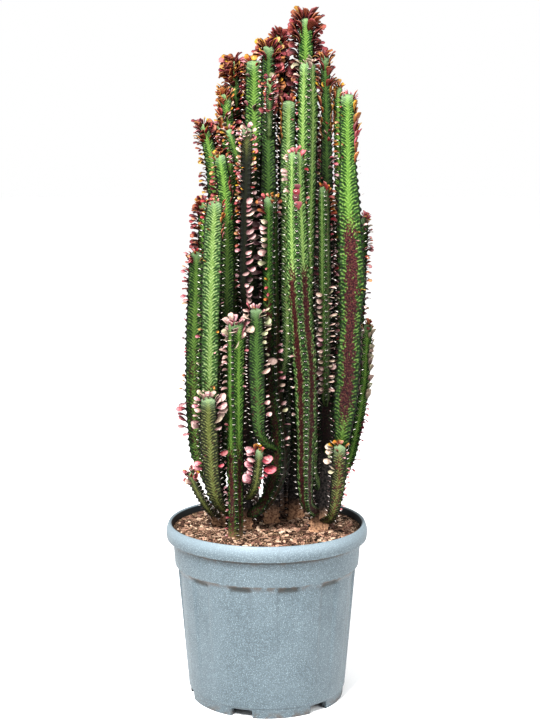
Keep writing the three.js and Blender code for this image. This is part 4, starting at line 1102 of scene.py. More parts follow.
def leaf_batch(kind, depth, angle, length, tints, random):
    """The numbers of one batch of leaves of a kind: even draws for size and tint, bell-shaped ones for the
    pose, and powers of even draws for painted shade and a painted highlight, so that few leaves have
    much of them."""
    count = len(depth)
    habit = LEAF_KINDS[kind]
    low, high = tints[0] / 100, tints[1] / 100
    young = np.exp(-depth / YOUNG_LEAF)
    rise = np.clip(habit["rise"] + 8 * young + random.normal(0, 9, count), 2, 89)
    return {
        "depth": depth,
        "angle": angle + random.normal(0, habit["spread"], count),
        "length": length * MM * random.uniform(0.7, 1.15, count),
        "width": habit["width"] * random.uniform(0.85, 1.15, count),
        "rise": np.radians(rise),
        "bend": np.radians(habit["bend"] * random.uniform(0.5, 1.5, count)),
        "cup": np.full(count, habit["cup"]),
        "lit": habit["roll"] * random.uniform(0.6, 1.4, count),
        "roll": random.normal(0, 0.22, count),
        "tint": np.clip(random.uniform(low, high, count) + random.normal(0, 0.03, count), 0, 1),
        # painted shade on some leaves, more of it further below the tip
        "shade": random.random(count) ** 2 * np.clip(depth / DEEP_LEAF, 0.2, 1),
        # a painted highlight on a few leaves
        "painted_highlight": random.random(count) ** 2.5,
    }


def wanted_leaves(name, random):
    """Every leaf that a stem would bear: groups of one kind along its ribs, and a few round its very tip. A
    tooth bears the whole part of the group's number, and one more by chance for the rest."""
    line = LINES[name]
    groups = STEMS[name]["leaves"]
    batches = []
    for kind, ribs, low, high, share, length, *tints, lean in groups:
        for rib in ribs:
            depth = tooth_depths(line, rib)
            depth = depth[(depth >= low * MM) & (depth < high * MM) & (depth < line.length - LEAFLESS_FOOT)]
            each = int(share) + (random.random(len(depth)) < share % 1)
            depth = np.repeat(depth, each)
            crowded = 0 if share <= 1 else 0.35
            depth = np.abs(depth + crowded * random.normal(0, SCATTER, len(depth)) * MM)
            angle = rib * TURN / 3 + np.radians(lean)
            batches.append(leaf_batch(kind, depth, angle, length, tints, random))
    if groups[0][0] == "crown":
        apex = random.uniform(0.5, 6, APEX_LEAVES) * MM
        around = np.arange(APEX_LEAVES) * TURN / APEX_LEAVES
        batches.append(leaf_batch("crown", apex, around, 0.8 * groups[0][5], groups[0][6:8], random))
    return {title: np.concatenate([batch[title] for batch in batches]) for title in batches[0]}


print("kinds of leaf:", ", ".join(LEAF_KINDS))

# %% [markdown]
# A leaf that would grow into a neighbouring stem is left out, which is what crowding does on the real plant.
# To find them, each stem is taken as a string of sixty balls. The rest are rolled about their own length
# until their faces look away from the middle of the bush and a little to the front, where the light came
# from. Numbers kept at each point tell the finish where on a leaf it is and what colour that leaf has.

# %% Leaves
STEM_BALLS = 60
STEM_CORE = 0.55  # of a stem's radius, which other stems' leaves keep out of
LEAF_SUNK = 1.2 * MM  # below the skin
WINDOW_SIDE = (0, -0.8, 0)

stem_samples = {}
for name, line in LINES.items():
    ball_depths = np.linspace(0, line.length, STEM_BALLS)
    stem_samples[name] = (line.place(ball_depths), line.radius(ball_depths))


def clear_of_stems(name, points):
    """Whether each leaf's end and middle keep out of the other stems, as balls of 0.55 of their radius."""
    free = np.ones(len(points), dtype=bool)
    for other, (places, radii) in stem_samples.items():
        if other != name:
            gaps = np.linalg.norm(points[:, :, None] - places, axis=-1) - STEM_CORE * radii
            free &= (gaps > 0).all(axis=(1, 2))
    return free


def leaf_floats(leaf):
    """The numbers at each point: along and across the leaf, on its underside, and the leaf's own ones."""
    count = len(leaf["tint"])
    along = np.append(np.repeat(LEAF_ROWS, LEAF_COLUMNS), [0, 1])
    turn = np.tile(np.arange(LEAF_COLUMNS) * TURN / LEAF_COLUMNS, len(LEAF_ROWS))
    floats = {
        "along": np.tile(along, count),
        "across": np.tile(np.append(np.cos(turn), [0, 0]), count),
        "under": np.tile(np.append(np.sin(turn) < -0.1, [False, False]), count),
    }
    for title in ("tint", "shade", "painted_highlight"):
        floats[title] = np.repeat(leaf[title], len(along))
    return floats


def make_leaves(name, material):
    """Every leaf of one stem. Each is rolled towards the light by its kind's roll, times tanh(3 x how much
    its side faces the light)."""
    line = LINES[name]
    leaf = wanted_leaves(name, np.random.default_rng(100 + line.seed))
    depth = leaf["depth"]
    out, axis = line.towards(depth, leaf["angle"]), line.axis(depth)
    from_rib = np.abs(leaf["angle"] - np.round(leaf["angle"] / (TURN / 3)) * TURN / 3)
    root = line.place(depth) + (girth(line, depth) * section(from_rib, VALLEY) - LEAF_SUNK)[:, None] * out
    aside = np.cross(axis, out)
    light = unit(unit(root * (1, 1, 0)) + WINDOW_SIDE)
    leaf["roll"] = leaf["roll"] - leaf["lit"] * np.tanh(3 * (aside * light).sum(axis=1))
    points = leaf_points(root, out, axis, aside, leaf)
    free = clear_of_stems(name, points[:, [3 * LEAF_COLUMNS, -1]])
    points = points[free]
    leaf = {title: values[free] for title, values in leaf.items()}
    quads, triangles = skin_faces(len(points), len(LEAF_ROWS), LEAF_COLUMNS)
    return make_piece(f"{name}_leaves", points.reshape(-1, 3), quads, triangles, material,
                      floats=leaf_floats(leaf))


print("each leaf has", 2 * LEAF_COLUMNS * len(LEAF_ROWS), "triangles")

# %% [markdown]
# Leaf colour comes from red pigment over green. One number for each leaf picks its place in a series that
# runs from dark maroon over bronze with a golden rim, crimson and dusty pink to a greyish green. Three ramps
# hold the series: for a leaf's blade, for its rim and end, and for its underside. A second number gives some
# leaves a pale pink painted highlight, which is brightest towards the end and faint on the dark ones. A third
# paints shade on some leaves, more of it on those further below the tip.

# %% Leaf finish
TINT_PLACES = (0, 0.18, 0.34, 0.46, 0.56, 0.66, 0.78, 0.9, 1)
BLADE_TINTS = "#22050B #3E0A15 #50141C #633012 #660E1B #7D2432 #734650 #645247 #585D43".split()
RIM_TINTS = "#6B2C33 #843F40 #8C5F36 #AC8E24 #933234 #AE656D #B29193 #AD9C8C #9DA07F".split()
UNDER_TINTS = "#3A150E #4A220F #5A2410 #6C3C10 #5C1318 #702E34 #5A373B #4A382F #42462F".split()
MOTTLE_SIZE = 3 * MM
LEAF_FOOT = "#200406"
# pale pink painted highlight
LEAF_HIGHLIGHT = "#C4A49E"
# painted shade on leaves
LEAF_PAINTED_SHADE = "#120406"


def leaf_material():
    """Fleshy living leaf: satin, a paler vein, a coloured rim, a darker foot, a duller underside, a painted
    highlight and painted shade.
    """
    material, tree, shader = new_material("fleshy_euphorbia_leaf", 1.42, 0.42, 0.3)
    titles = ("along", "across", "under", "tint", "shade", "painted_highlight")
    along, across, below, tint, shaded, painted_highlight = [
        add(tree, "Attribute", attribute_name=title) for title in titles]
    place = add(tree, "TexCoord", out="Object")
    mottle = add(tree, "TexNoise", place, 1 / MOTTLE_SIZE, 2.0)
    side = add(tree, "Math", across, operation="ABSOLUTE")
    blade, rim, under = [add(tree, "ValToRGB", tint, stops=zip(TINT_PLACES, codes))
                         for codes in (BLADE_TINTS, RIM_TINTS, UNDER_TINTS)]
    edge = add(tree, "MapRange", side, 0.7, 0.98, 0.0, 0.8)
    far = add(tree, "Math", along, mottle, operation="ADD")
    end = add(tree, "MapRange", far, 0.95, 1.4)
    rimmed = add(tree, "Math", edge, end, operation="MAXIMUM")
    middle = add(tree, "MapRange", side, 0.16, 0.02, 0.0, 0.35)
    fading = add(tree, "MapRange", along, 0.95, 0.6)
    vein = add(tree, "Math", middle, fading)
    foot = add(tree, "MapRange", along, 0.35, 0.0, 0.0, 0.8)
    outer = add(tree, "MapRange", far, 0.6, 1.3, 0.0, 0.6)
    # painted highlight towards a leaf's end, faint on dark tints
    highlight_by_tint = add(tree, "MapRange", tint, 0.3, 0.6, 0.15, 1.0, interpolation_type="LINEAR")
    highlight_share = add(tree, "Math", add(tree, "Math", painted_highlight, outer), highlight_by_tint)
    dull = add(tree, "Math", below, 0.8)
    # painted shade on some leaves
    dark = add(tree, "Math", shaded, 0.7)
    colour = blade
    for share, coat in [(rimmed, rim), (vein, rim), (foot, LEAF_FOOT), (highlight_share, LEAF_HIGHLIGHT), (dull, under),
                        (dark, LEAF_PAINTED_SHADE)]:
        colour = add(tree, "Mix", share, colour, coat)
    tree.links.new(colour, shader.inputs["Base Color"])
    bump = add(tree, "Bump", Strength=0.25, Distance=0.4 * MM, Height=mottle)
    tree.links.new(bump, shader.inputs["Normal"])
    return material


fleshy = leaf_material()
leaf_pieces = [make_leaves(name, fleshy) for name in STEMS]
leaf_size = len(LEAF_ROWS) * LEAF_COLUMNS + 2
print("leaves:", sum(len(piece.data.vertices) for piece in leaf_pieces) // leaf_size)

# %% [markdown]
# The pot is injection-moulded polypropylene with a pale speckle in it. Its wall is one profile carried round
# the axis: foot, wall, a wider band, and a lip that rolls over and hangs down. The profile's corners are
# rounded with small arcs, and extra rows are added on its long stretches, so that flutes and notches have
# points to bend.

# %% Profile of the pot
FLOOR_UNDER = 15 * MM
FLOOR_TOP = 18 * MM
ROW_SPACING = 16 * MM
# height, radius, flute depth and rounding of each corner, from under the floor round to its top
POT_PROFILE = [
    (15, 118, 0, 0.5), (0, 121, 0, 0.8), (0, 129.5, 0, 1.5), (17, 131, 0, 1.0), (18.2, 133, 0, 1.0),
    (215.5, 149.65, 3.87, 0.3), (222, 150.2, 4, 1.5), (229, 155, 0, 1.5), (263, 157.6, 0, 3),
    (267, 158.24, 0, 0.3), (270.5, 158.8, 0, 0.3), (288, 161.6, 0, 2), (288, 166, 0, 1),
    (274, 166.6, 0, 0.6), (274, 168.4, 0, 0.6), (287, 170, 0, 6), (300.5, 165, 0, 3.5),
    (298.5, 160, 0, 2), (229, 152.2, 0, 2), (221, 147.4, 4, 2), (18, 129.6, 0, 2),
]


def rounded_profile(corners, steps=4):
    """The corners with each one replaced by a quadratic arc that starts and ends a rounding away from it."""
    rows = []
    for k, corner in enumerate(corners):
        point, rounding = np.array(corner[:3], dtype=float), corner[3]
        before = np.array(corners[max(k - 1, 0)][:3], dtype=float)
        after = np.array(corners[min(k + 1, len(corners) - 1)][:3], dtype=float)
        reach = [np.hypot(*(other - point)[:2]) for other in (before, after)]
        if min(reach) == 0:
            rows.append(point)
            continue
        start = point + (before - point) * min(rounding / reach[0], 0.45)
        end = point + (after - point) * min(rounding / reach[1], 0.45)
        for t in np.linspace(0, 1, steps):
            rows.append((1 - t) ** 2 * start + 2 * t * (1 - t) * point + t ** 2 * end)
    return np.array(rows) * MM


def added_rows(profile, spacing):
    """The profile with extra rows on its long stretches, so that the flutes bend evenly."""
    rows = [profile[:1]]
    for start, end in zip(profile[:-1], profile[1:]):
        parts = max(1, int(np.hypot(*(end - start)[:2]) / spacing))
        rows.append(start + (end - start) * (np.arange(1, parts + 1) / parts)[:, None])
    return np.concatenate(rows)


profile = added_rows(rounded_profile(POT_PROFILE), ROW_SPACING)
print("profile of the pot:", len(profile), "rows")

# %% [markdown]
# Twelve shallow flutes sink into the wall below the band, deepest at their tops, and six notches are cut in
# the foot. Both are numbers that depend on the direction only, so they are worked out for every column at
# once: a flute takes its depth off a row's radius, and a notch raises the rows that lie below its arch.

# %% Flutes and notches
FLUTES = 12
FIRST_FLUTE = np.radians(13.5)  # from the front towards +X
FLUTE_EDGE = np.radians(8)
FLUTE_FLOOR = np.radians(5)
NOTCHES = 6
FIRST_NOTCH = np.radians(41.5)
NOTCH_WIDTH = 36 * MM
NOTCH_HEIGHT = 14 * MM
FOOT_RADIUS = 129.5 * MM
# Degrees from a notch's edge and from its middle where columns stand closer
BY_NOTCH_EDGE = (-0.9, -0.45, -0.2, -0.05, 0.25, 0.8)
BY_FLUTE_EDGE = (3.5, 4.5, 6, 7, 8.5, 21.5, 23, 24, 25.5, 26.5)


def pot_angles():
    """Directions of the pot's columns: every 2.5 degrees, and closer at the edges of flutes and notches."""
    spread = list(np.arange(-30, 30, 2.5))
    edge = np.degrees(0.5 * NOTCH_WIDTH / FOOT_RADIUS)
    spread += [way * (edge + step) for way in (-1, 1) for step in BY_NOTCH_EDGE]
    spread += [way * step for way in (-1, 1) for step in BY_FLUTE_EDGE]
    period = np.radians(np.unique(np.round(spread, 3)))
    return np.concatenate([FIRST_NOTCH + k * TURN / NOTCHES + period for k in range(NOTCHES)])


def off_middle(angle, first, count):
    """Angle to the nearest of a number of equal places round the axis."""
    step = TURN / count
    return np.abs((angle - first + step / 2) % step - step / 2)


def flute_share(angle):
    """1 on the floor of a flute, 0 between flutes, with smooth sides."""
    return 1 - smooth(off_middle(angle, FIRST_FLUTE, FLUTES), FLUTE_FLOOR, FLUTE_EDGE)


def notch_height(angle):
    """Lowest height of the foot: a notch's top is a flat arch, H (1 - |2x/w|^10)^(1/10)."""
    off = off_middle(angle, FIRST_NOTCH, NOTCHES) * FOOT_RADIUS
    return NOTCH_HEIGHT * np.clip(1 - (2 * off / NOTCH_WIDTH) ** 10, 0, 1) ** 0.1


def pot_points(rows, angles):
    """x = r sin(a), y = -r cos(a): each row carried round the axis, sunk by flutes and cut by notches."""
    height = np.maximum(rows[:, :1], notch_height(angles)[None, :])
    radius = rows[:, 1:2] - rows[:, 2:3] * flute_share(angles)[None, :]
    return np.stack([radius * np.sin(angles), -radius * np.cos(angles), height], axis=-1)


print("columns round the pot:", len(pot_angles()))

# %% [markdown]
# The shell is the same closed skin as the stems', carried along the profile. Its six drain holes are cut by a
# boolean modifier, because a grid of rows and columns can't have a hole. One more number at each point marks
# the corners that get painted shade: the tops of the flutes, with a little dust, and under the lip.

# %% Pot
DRAIN_RADIUS = 5.5 * MM
DRAIN_RING = 96 * MM
# Heights where the painted shade of a corner starts, where it is darkest and where it ends
FLUTE_CORNER = (215 * MM, 221 * MM, 228 * MM)
LIP_CORNER = (266.5 * MM, 270.5 * MM, 290 * MM)
OUTER_WALL = 143 * MM  # radius that parts the flutes from the inside of the wall
UNDER_LIP = (154 * MM, 166.3 * MM)  # radii between which the lip hangs over the wall


def painted_shade_share(points):
    """1 where shade is painted into a corner of the outer wall: each flute's top 6 mm, and under the lip."""
    x, y, z = points.T
    radius = np.hypot(x, y)
    start, full, end = FLUTE_CORNER
    flute = smooth(z, start, full) * (z < end) * (radius > OUTER_WALL)
    start, full, end = LIP_CORNER
    lip = smooth(z, start, full) * (z < end) * (radius > UNDER_LIP[0]) * (radius < UNDER_LIP[1])
    return np.maximum(0.8 * flute_share(np.arctan2(x, -y) % TURN) * flute, 0.85 * lip)


def drill(piece, places, radius, depth):
    """Cuts upright round holes through a piece with a boolean modifier, which is then applied."""
    bpy.ops.object.select_all(action="DESELECT")
    drills = []
    for place in places:
        bpy.ops.mesh.primitive_cylinder_add(vertices=24, radius=radius, depth=depth, location=place)
        drills.append(bpy.context.object)
    for each in drills:
        each.select_set(True)
    bpy.ops.object.join()
    cutter = bpy.context.object
    cut = piece.modifiers.new("drain_holes", "BOOLEAN")
    cut.object = cutter
    cut.solver = "EXACT"
    bpy.context.view_layer.objects.active = piece
    bpy.ops.object.modifier_apply(modifier=cut.name)
    bpy.data.objects.remove(cutter)


def make_pot(material):
    """The pot's shell with its drain holes."""
    angles = pot_angles()
    points = pot_points(profile, angles)
    ends = np.array([[0, 0, FLOOR_UNDER], [0, 0, FLOOR_TOP]])
    quads, triangles = skin_faces(1, len(profile), len(angles))
    shell = np.vstack([points.reshape(-1, 3), ends])
    # the hollow number marks painted shade at the tops of the flutes and under the lip
    piece = make_piece("pot_shell", shell, quads, triangles, material, ("pot",),
                       floats={"hollow": painted_shade_share(shell)})
    turns = FIRST_NOTCH + np.arange(NOTCHES) * TURN / NOTCHES
    holes = [(DRAIN_RING * np.sin(t), -DRAIN_RING * np.cos(t), FLOOR_TOP - 2 * MM) for t in turns]
    drill(piece, holes, DRAIN_RADIUS, 20 * MM)
    return piece


print("drain holes:", NOTCHES, "of", round(2 * DRAIN_RADIUS / MM), "mm")

# %% [markdown]
# The pot is injection-moulded polypropylene, blue-grey with pale and dark flecks of under a millimetre. They
# are too small to show at this distance, so they are drawn as flecks in cells of about 2 mm, over a soft
# grain of the same size. The moulded skin has a faint pebble that breaks up its sheen, and that is drawn at
# 1.6 mm for the same reason. Dust and watering leave a brownish film under the lip, under the band and round
# the foot. The inside of the lip is painted dark as shade, and the top of the lip is painted paler as a
# highlight.

# %% Pot finish
CLOUD_SIZE = 60 * MM
DUST_SIZE = 14 * MM
FLECK_SIZE = 2.2 * MM
PIT_SIZE = 2.0 * MM
GRAIN_SIZE = 2.1 * MM
PEBBLE_SIZE = 1.6 * MM
FOOT_SEAM = (16 * MM, 2 * MM)  # heights where the film at the foot starts and is fullest
SEAMS = ((216, 229), (262, 274))  # the same in mm, under the band and under the lip
# the lip is painted paler between these heights: a painted highlight
LIP_HIGHLIGHT_HEIGHTS = (277 * MM, 296 * MM)  # heights over which the lip turns paler
# the inside of the lip is painted dark as shade, within this radius and above the next height
INSIDE_RADIUS = 160 * MM
INSIDE_HEIGHT = 284 * MM  # above this the inside of the lip shows
POT_GREY = "#414B50"
POT_CLOUD = "#4A5459"
POT_GRAIN = "#5F6D74"
POT_FLECK = "#8A999F"
# painted highlight on the top of the lip
POT_PIT = "#2C383F"
POT_LIP_HIGHLIGHT = "#87949B"
# painted shade on the inside of the lip
POT_INSIDE_SHADE = "#20282D"
# painted shade for the corners that the hollow number marks, with a little dust in the flutes
POT_SHADE_AND_DUST = "#2A2A26"
POT_FILM = "#4C3E34"


def film_share(tree, height):
    """How much film a height may hold: rising to the underside of each edge, and gone just above it."""
    seams = add(tree, "MapRange", height, *FOOT_SEAM, 0.0, 0.6)
    for low, high in SEAMS:
        rising = add(tree, "MapRange", height, low * MM, high * MM, 0.0, 0.6)
        falling = add(tree, "MapRange", height, (high + 1.5) * MM, (high + 0.5) * MM,
                      interpolation_type="LINEAR")
        seam = add(tree, "Math", rising, falling)
        seams = add(tree, "Math", seams, seam, operation="MAXIMUM")
    return seams


def inside_shade_share(tree, place, height):
    """1 where shade is painted on the inside of the lip, from the distance to the axis and the height."""
    level = add(tree, "VectorMath", place, (1, 1, 0))
    radius = add(tree, "VectorMath", level, operation="LENGTH")
    within = add(tree, "MapRange", radius, INSIDE_RADIUS + 1 * MM, INSIDE_RADIUS)
    above = add(tree, "MapRange", height, INSIDE_HEIGHT, INSIDE_HEIGHT + 2 * MM)
    return add(tree, "Math", within, above)


def pot_material():
    """Moulded polypropylene: satin, speckled, finely pebbled, with soil-coloured dust in its seams, painted
    shade in its corners and inside the lip, and a painted highlight on the lip.
    """
    material, tree, shader = new_material("moulded_speckled_polypropylene", 1.49, 0.5, 0.4)
    place = add(tree, "TexCoord", out="Object")
    height = add(tree, "SeparateXYZ", place, out="Z")
    cloud = add(tree, "TexNoise", place, 1 / CLOUD_SIZE, 3.0)
    clouded = add(tree, "MapRange", cloud, 0.35, 0.65)
    grain = add(tree, "TexNoise", place, 1 / GRAIN_SIZE, 1.0)
    grain = add(tree, "MapRange", grain, 0.4, 0.62, 0.0, 0.45)
    pale = add(tree, "TexVoronoi", place, 1 / FLECK_SIZE)
    flecks = add(tree, "MapRange", pale, 0.33, 0.14, 0.0, 0.8)
    deep = add(tree, "TexVoronoi", place, 1 / PIT_SIZE)
    pits = add(tree, "MapRange", deep, 0.34, 0.16, 0.0, 0.6)
    # painted highlight: the lip's top turns paler
    lip = add(tree, "MapRange", height, *LIP_HIGHLIGHT_HEIGHTS, 0.05, 0.5)
    # painted shade on the inside of the lip
    inside = inside_shade_share(tree, place, height)
    # painted shade at the tops of the flutes and under the lip, with a little dust in the flutes
    hollow = add(tree, "Attribute", attribute_name="hollow")
    dust = add(tree, "TexNoise", place, 1 / DUST_SIZE, 4.0)
    settled = add(tree, "MapRange", dust, 0.42, 0.62)
    film = add(tree, "Math", film_share(tree, height), settled)
    colour = POT_GREY
    for share, coat in [(clouded, POT_CLOUD), (grain, POT_GRAIN), (flecks, POT_FLECK), (pits, POT_PIT),
                        (lip, POT_LIP_HIGHLIGHT), (inside, POT_INSIDE_SHADE), (hollow, POT_SHADE_AND_DUST), (film, POT_FILM)]:
        colour = add(tree, "Mix", share, colour, coat)
    tree.links.new(colour, shader.inputs["Base Color"])
    pebble = add(tree, "TexNoise", place, 1 / PEBBLE_SIZE, 2.0)
    bump = add(tree, "Bump", Strength=0.3, Distance=0.25 * MM, Height=pebble)
    tree.links.new(bump, shader.inputs["Normal"])
    return material


pot = make_pot(pot_material())
print("pot:", face_count(pot), "triangles")

# %% [markdown]
# The pot is filled with bark and coir. Its surface is a little higher in the middle and lumpy, with the same
# long waves as the solid soil plus small ones for the crumbs. It is a skin too: its rows run out from the
# middle of the underside, up the wall and back in over the top.

# %% Soil
SOIL_EDGE = 288 * MM
SOIL_RISE = 5 * MM
SOIL_RADIUS = 158 * MM
SOIL_BOTTOM = 18.6 * MM
SOIL_COLUMNS = 220
SOIL_ROWS = 64  # over the surface
SOIL_RINGS = (157, 2)  # mm, radii of its first and last row
SOIL_WALL = [(18.6, 60), (18.6, 128), (221, 142.6), (229, 151.4), (288, 158)]  # mm, height and radius
CRUMB_SIZE = 2.5 * MM
DAMP_SIZE = 18 * MM
# the darkest brown sits in the gaps between crumbs: painted shade
SOIL_BROWNS_AND_SHADE = [(0.38, "#060403"), (0.46, "#2A1C15"), (0.54, "#66503F"), (0.64, "#A68D74")]
DAMP_BROWN = "#38281F"


def soil_height(x, y):
    """Height of the surface: a low dome plus crossing waves of three sizes that fade out at the wall."""
    far = np.hypot(x, y) / SOIL_RADIUS
    across = 1.6 * np.sin(x / (11 * MM) + 2 * np.sin(y / (23 * MM)))
    along = 1.5 * np.sin(y / (9 * MM) + 1.7 * np.sin(x / (17 * MM)))
    crumbs = 0.9 * np.sin(x / (2.7 * MM) + 3 * np.sin(y / (5 * MM)))
    crumbs = crumbs * np.sin(y / (2.3 * MM) + 2 * np.sin(x / (4 * MM)))
    lumps = (across + along + crumbs) * MM * np.clip(4 * (1 - far), 0, 1)
    return SOIL_EDGE + SOIL_RISE * (1 - far ** 2) + lumps


def make_soil(material):
    """The soil's skin: flat underside, the wall's inside, and the lumpy surface."""
    angles = np.arange(SOIL_COLUMNS) * TURN / SOIL_COLUMNS
    rows = []
    for height, radius in SOIL_WALL:
        x, y = radius * MM * np.sin(angles), -radius * MM * np.cos(angles)
        rows.append(np.stack([x, y, np.full(SOIL_COLUMNS, height * MM)], axis=-1))
    for radius in np.linspace(*SOIL_RINGS, SOIL_ROWS) * MM:
        x, y = radius * np.sin(angles), -radius * np.cos(angles)
        rows.append(np.stack([x, y, soil_height(x, y)], axis=-1))
    ends = np.array([[0, 0, SOIL_BOTTOM], [0, 0, soil_height(0.0, 0.0)]])
    points = np.vstack([np.concatenate(rows), ends])
    quads, triangles = skin_faces(1, len(rows), SOIL_COLUMNS)
    return make_piece("soil_surface", points, quads, triangles, material, ("soil",))


def soil_material():
    """Damp bark and coir dust: rough and brown, tan on the crumbs, with painted shade in the gaps between
    them.
    """
    material, tree, shader = new_material("bark_and_coir_soil", 1.45, 0.92, 0.15)
    place = add(tree, "TexCoord", out="Object")
    crumb = add(tree, "TexNoise", place, 1 / CRUMB_SIZE, 4.0)
    patch = add(tree, "TexNoise", place, 1 / DAMP_SIZE, 2.0)
    colour = add(tree, "ValToRGB", crumb, stops=SOIL_BROWNS_AND_SHADE)
    damp = add(tree, "MapRange", patch, 0.45, 0.65, 0.0, 0.6)
    colour = add(tree, "Mix", damp, colour, DAMP_BROWN)
    tree.links.new(colour, shader.inputs["Base Color"])
    bump = add(tree, "Bump", Strength=0.8, Distance=1.5 * MM, Height=crumb)
    tree.links.new(bump, shader.inputs["Normal"])
    return material


soil = make_soil(soil_material())
print("soil:", face_count(soil), "triangles")

# %% [markdown]
# What makes it look like bark is its litter: flat split chips of every size lying at odd angles, and coir
# fibres between them, some dark and some pale as straw. A chip is a flat skin of two rings whose eight
# corners are pushed in and out at random. A fibre is a thin three-sided skin along an arc. Both are scattered
# evenly over the soil by seeded draws, and lie partly sunk in its surface.

# %% Bark chips and coir
CHIPS = 1750
CHIP_CORNERS = 8
FIBRES = 420
FIBRE_ROWS = 7
LITTER_REACH = 150 * MM
STREAK_SIZE = 1.8 * MM
LITTER_BROWNS = [(0.0, "#1A100C"), (0.25, "#573F35"), (0.5, "#8F6F60"), (0.75, "#AD8E79"), (1.0, "#CDB59F")]
STREAK_BROWN = "#1E120C"


def litter_places(count, random):
    """Even scatter over the soil's disc: the radius is the root of an even draw."""
    far = LITTER_REACH * np.sqrt(random.random(count))
    angle = random.random(count) * TURN
    return far * np.cos(angle), far * np.sin(angle)


def litter_frames(count, tilt, random):
    """Three directions at right angles for each piece: long, wide and thick, tilted a little from level."""
    heading = random.random(count) * TURN
    lean = random.normal(0, tilt, (2, count))
    long_way = unit(np.stack([np.cos(heading), np.sin(heading), np.sin(lean[0])], axis=-1))
    side = np.stack([-np.sin(heading), np.cos(heading), np.sin(lean[1])], axis=-1)
    thick = unit(np.cross(long_way, side))
    return long_way, np.cross(thick, long_way), thick


def make_chips(material):
    """Bark chips: uneven eight-cornered slabs about 3 to 17 mm long, mostly small, thinner at the rim."""
    random = np.random.default_rng(7)
    x, y = litter_places(CHIPS, random)
    size = 3.4 + 14 * random.random(CHIPS) ** 2.8
    length, width = size * MM, size * random.uniform(0.35, 0.75, CHIPS) * MM
    thickness = np.clip(size * 0.22, 0.9, 2.6) * MM
    long_way, side, thick = litter_frames(CHIPS, 0.28, random)
    turn = np.arange(CHIP_CORNERS) * TURN / CHIP_CORNERS
    rims = []
    for level, spread in ((-0.5, 0.9), (0.5, 0.8)):
        jitter = random.uniform(0.72, 1.12, (CHIPS, CHIP_CORNERS)) * spread
        across = (length[:, None] * jitter * np.cos(turn))[..., None] * long_way[:, None]
        beside = (width[:, None] * jitter * np.sin(turn))[..., None] * side[:, None]
        rims.append(0.5 * (across + beside) + (level * thickness[:, None])[..., None] * thick[:, None])
    ends = np.stack([-0.55 * thickness[:, None] * thick, 0.62 * thickness[:, None] * thick], axis=1)
    points = np.concatenate([rims[0], rims[1], ends], axis=1)
    lift = soil_height(x, y) + random.uniform(-0.2, 1.6, CHIPS) * MM
    points = points + np.stack([x, y, lift], axis=-1)[:, None]
    quads, triangles = skin_faces(CHIPS, 2, CHIP_CORNERS)
    tint = np.repeat(random.random(CHIPS), points.shape[1])
    piece = make_piece("bark_chips", points.reshape(-1, 3), quads, triangles, material,
                       floats={"tint": tint})
    piece.data.polygons.foreach_set("use_smooth", np.zeros(len(piece.data.polygons), dtype=bool))
    return piece


def make_fibres(material):
    """Coir fibres: three-sided threads along shallow arcs that rise between two ends in the soil."""
    random = np.random.default_rng(11)
    x, y = litter_places(FIBRES, random)
    length = random.uniform(9, 30, FIBRES) * MM
    thickness = random.uniform(0.35, 0.8, FIBRES) * MM
    long_way, side, thick = litter_frames(FIBRES, 0.12, random)
    s = np.linspace(-1, 1, FIBRE_ROWS)[None, :, None]
    bow = (random.normal(0, 0.16, FIBRES) * length)[:, None, None] * (1 - s ** 2)
    rise = (random.uniform(0.5, 2.6, FIBRES) * MM)[:, None, None] * (1 - s ** 2)
    middle = 0.5 * length[:, None, None] * s * long_way[:, None] + bow * side[:, None] + rise * thick[:, None]
    turn = np.arange(3) * TURN / 3
    ring = np.cos(turn)[:, None] * side[:, None, None] + np.sin(turn)[:, None] * thick[:, None, None]
    points = (middle[:, :, None] + thickness[:, None, None, None] * ring).reshape(FIBRES, -1, 3)
    points = np.concatenate([points, middle[:, :1], middle[:, -1:]], axis=1)
    lift = soil_height(x, y) + random.uniform(-0.3, 1.2, FIBRES) * MM
    points = points + np.stack([x, y, lift], axis=-1)[:, None]
    far = np.hypot(points[..., 0], points[..., 1]).max(axis=1)
    points = points[far < SOIL_RADIUS]
    quads, triangles = skin_faces(len(points), FIBRE_ROWS, 3)
    tint = np.repeat(random.uniform(0.45, 1, len(points)), points.shape[1])
    return make_piece("coir_fibres", points.reshape(-1, 3), quads, triangles, material,
                      floats={"tint": tint})


def litter_material():
    """Dry pine bark and coir husk: rough and matt, every chip a brown of its own with darker grain."""
    material, tree, shader = new_material("dry_bark_and_coir", 1.45, 0.88, 0.15)
    tint = add(tree, "Attribute", attribute_name="tint")
    place = add(tree, "TexCoord", out="Object")
    streak = add(tree, "TexNoise", place, 1 / STREAK_SIZE, 3.0)
    colour = add(tree, "ValToRGB", tint, stops=LITTER_BROWNS)
    grain = add(tree, "MapRange", streak, 0.5, 0.66, 0.0, 0.85)
    colour = add(tree, "Mix", grain, colour, STREAK_BROWN)
    tree.links.new(colour, shader.inputs["Base Color"])
    bump = add(tree, "Bump", Strength=0.5, Distance=0.5 * MM, Height=streak)
    tree.links.new(bump, shader.inputs["Normal"])
    return material


litter = litter_material()
chips = make_chips(litter)
fibres = make_fibres(litter)
print("litter:", face_count(chips) + face_count(fibres), "triangles")

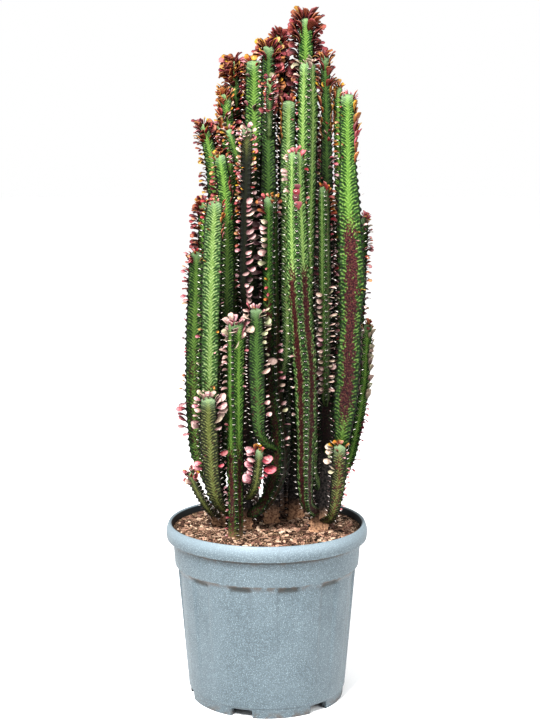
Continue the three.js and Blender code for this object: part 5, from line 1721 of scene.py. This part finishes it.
# %% [markdown]
# The set is a plain pale floor in an even white room. A large soft light from above on the left gives the
# pot and the stems their form, a weaker one from the right keeps the shaded side open, and the white world
# fills the rest, so that only the gaps between the stems go dark. The Standard view shows the colours as they
# are, and a gamma below 1 deepens the darker ones as the photograph's own contrast does, while white stays
# white.

# %% Floor and light
FLOOR_REACH = 20.0  # metres from the middle to each side
LIGHT_AIM = (0, 0, 0.6)
KEY_PLACE, KEY_SIZE, KEY_WATTS = (-1.1, -2.3, 3.0), 1.1, 345
FILL_PLACE, FILL_SIZE, FILL_WATTS = (2.2, -1.6, 1.6), 1.2, 50
VIEW_GAMMA = 0.83


def make_floor():
    """A flat floor, 40 metres square, under the pot's feet."""
    mesh = bpy.data.meshes.new("studio_floor")
    corners = [(x * FLOOR_REACH, y * FLOOR_REACH, 0) for x, y in ((-1, -1), (1, -1), (1, 1), (-1, 1))]
    mesh.from_pydata(corners, [], [(0, 1, 2, 3)])
    material, _, shader = new_material("pale_studio_floor", 1.45, 0.9)
    shader.inputs["Base Color"].default_value = rgb("#FFFFFF")
    mesh.materials.append(material)
    floor = bpy.data.objects.new("studio_floor", mesh)
    bpy.context.collection.objects.link(floor)


def add_light(name, place, size, power):
    """A square area light at a place, turned towards the middle of the plant."""
    light = bpy.data.lights.new(name, "AREA")
    light.size = size
    light.energy = power
    holder = bpy.data.objects.new(name, light)
    holder.location = place
    way = np.array(LIGHT_AIM) - np.array(place)
    level = np.hypot(way[0], way[1])
    holder.rotation_euler = (np.arctan2(level, -way[2]), 0, np.arctan2(way[1], way[0]) - np.pi / 2)
    bpy.context.collection.objects.link(holder)


make_floor()
add_light("key_light", KEY_PLACE, KEY_SIZE, KEY_WATTS)
add_light("fill_light", FILL_PLACE, FILL_SIZE, FILL_WATTS)
world = bpy.data.worlds.new("white_room")
world.use_nodes = True
background = world.node_tree.nodes["Background"]
background.inputs["Color"].default_value = (1, 1, 1, 1)
background.inputs["Strength"].default_value = 1.0
bpy.context.scene.world = world
bpy.context.scene.view_settings.view_transform = "Standard"
bpy.context.scene.view_settings.gamma = VIEW_GAMMA
print("lights:", len(bpy.data.lights))
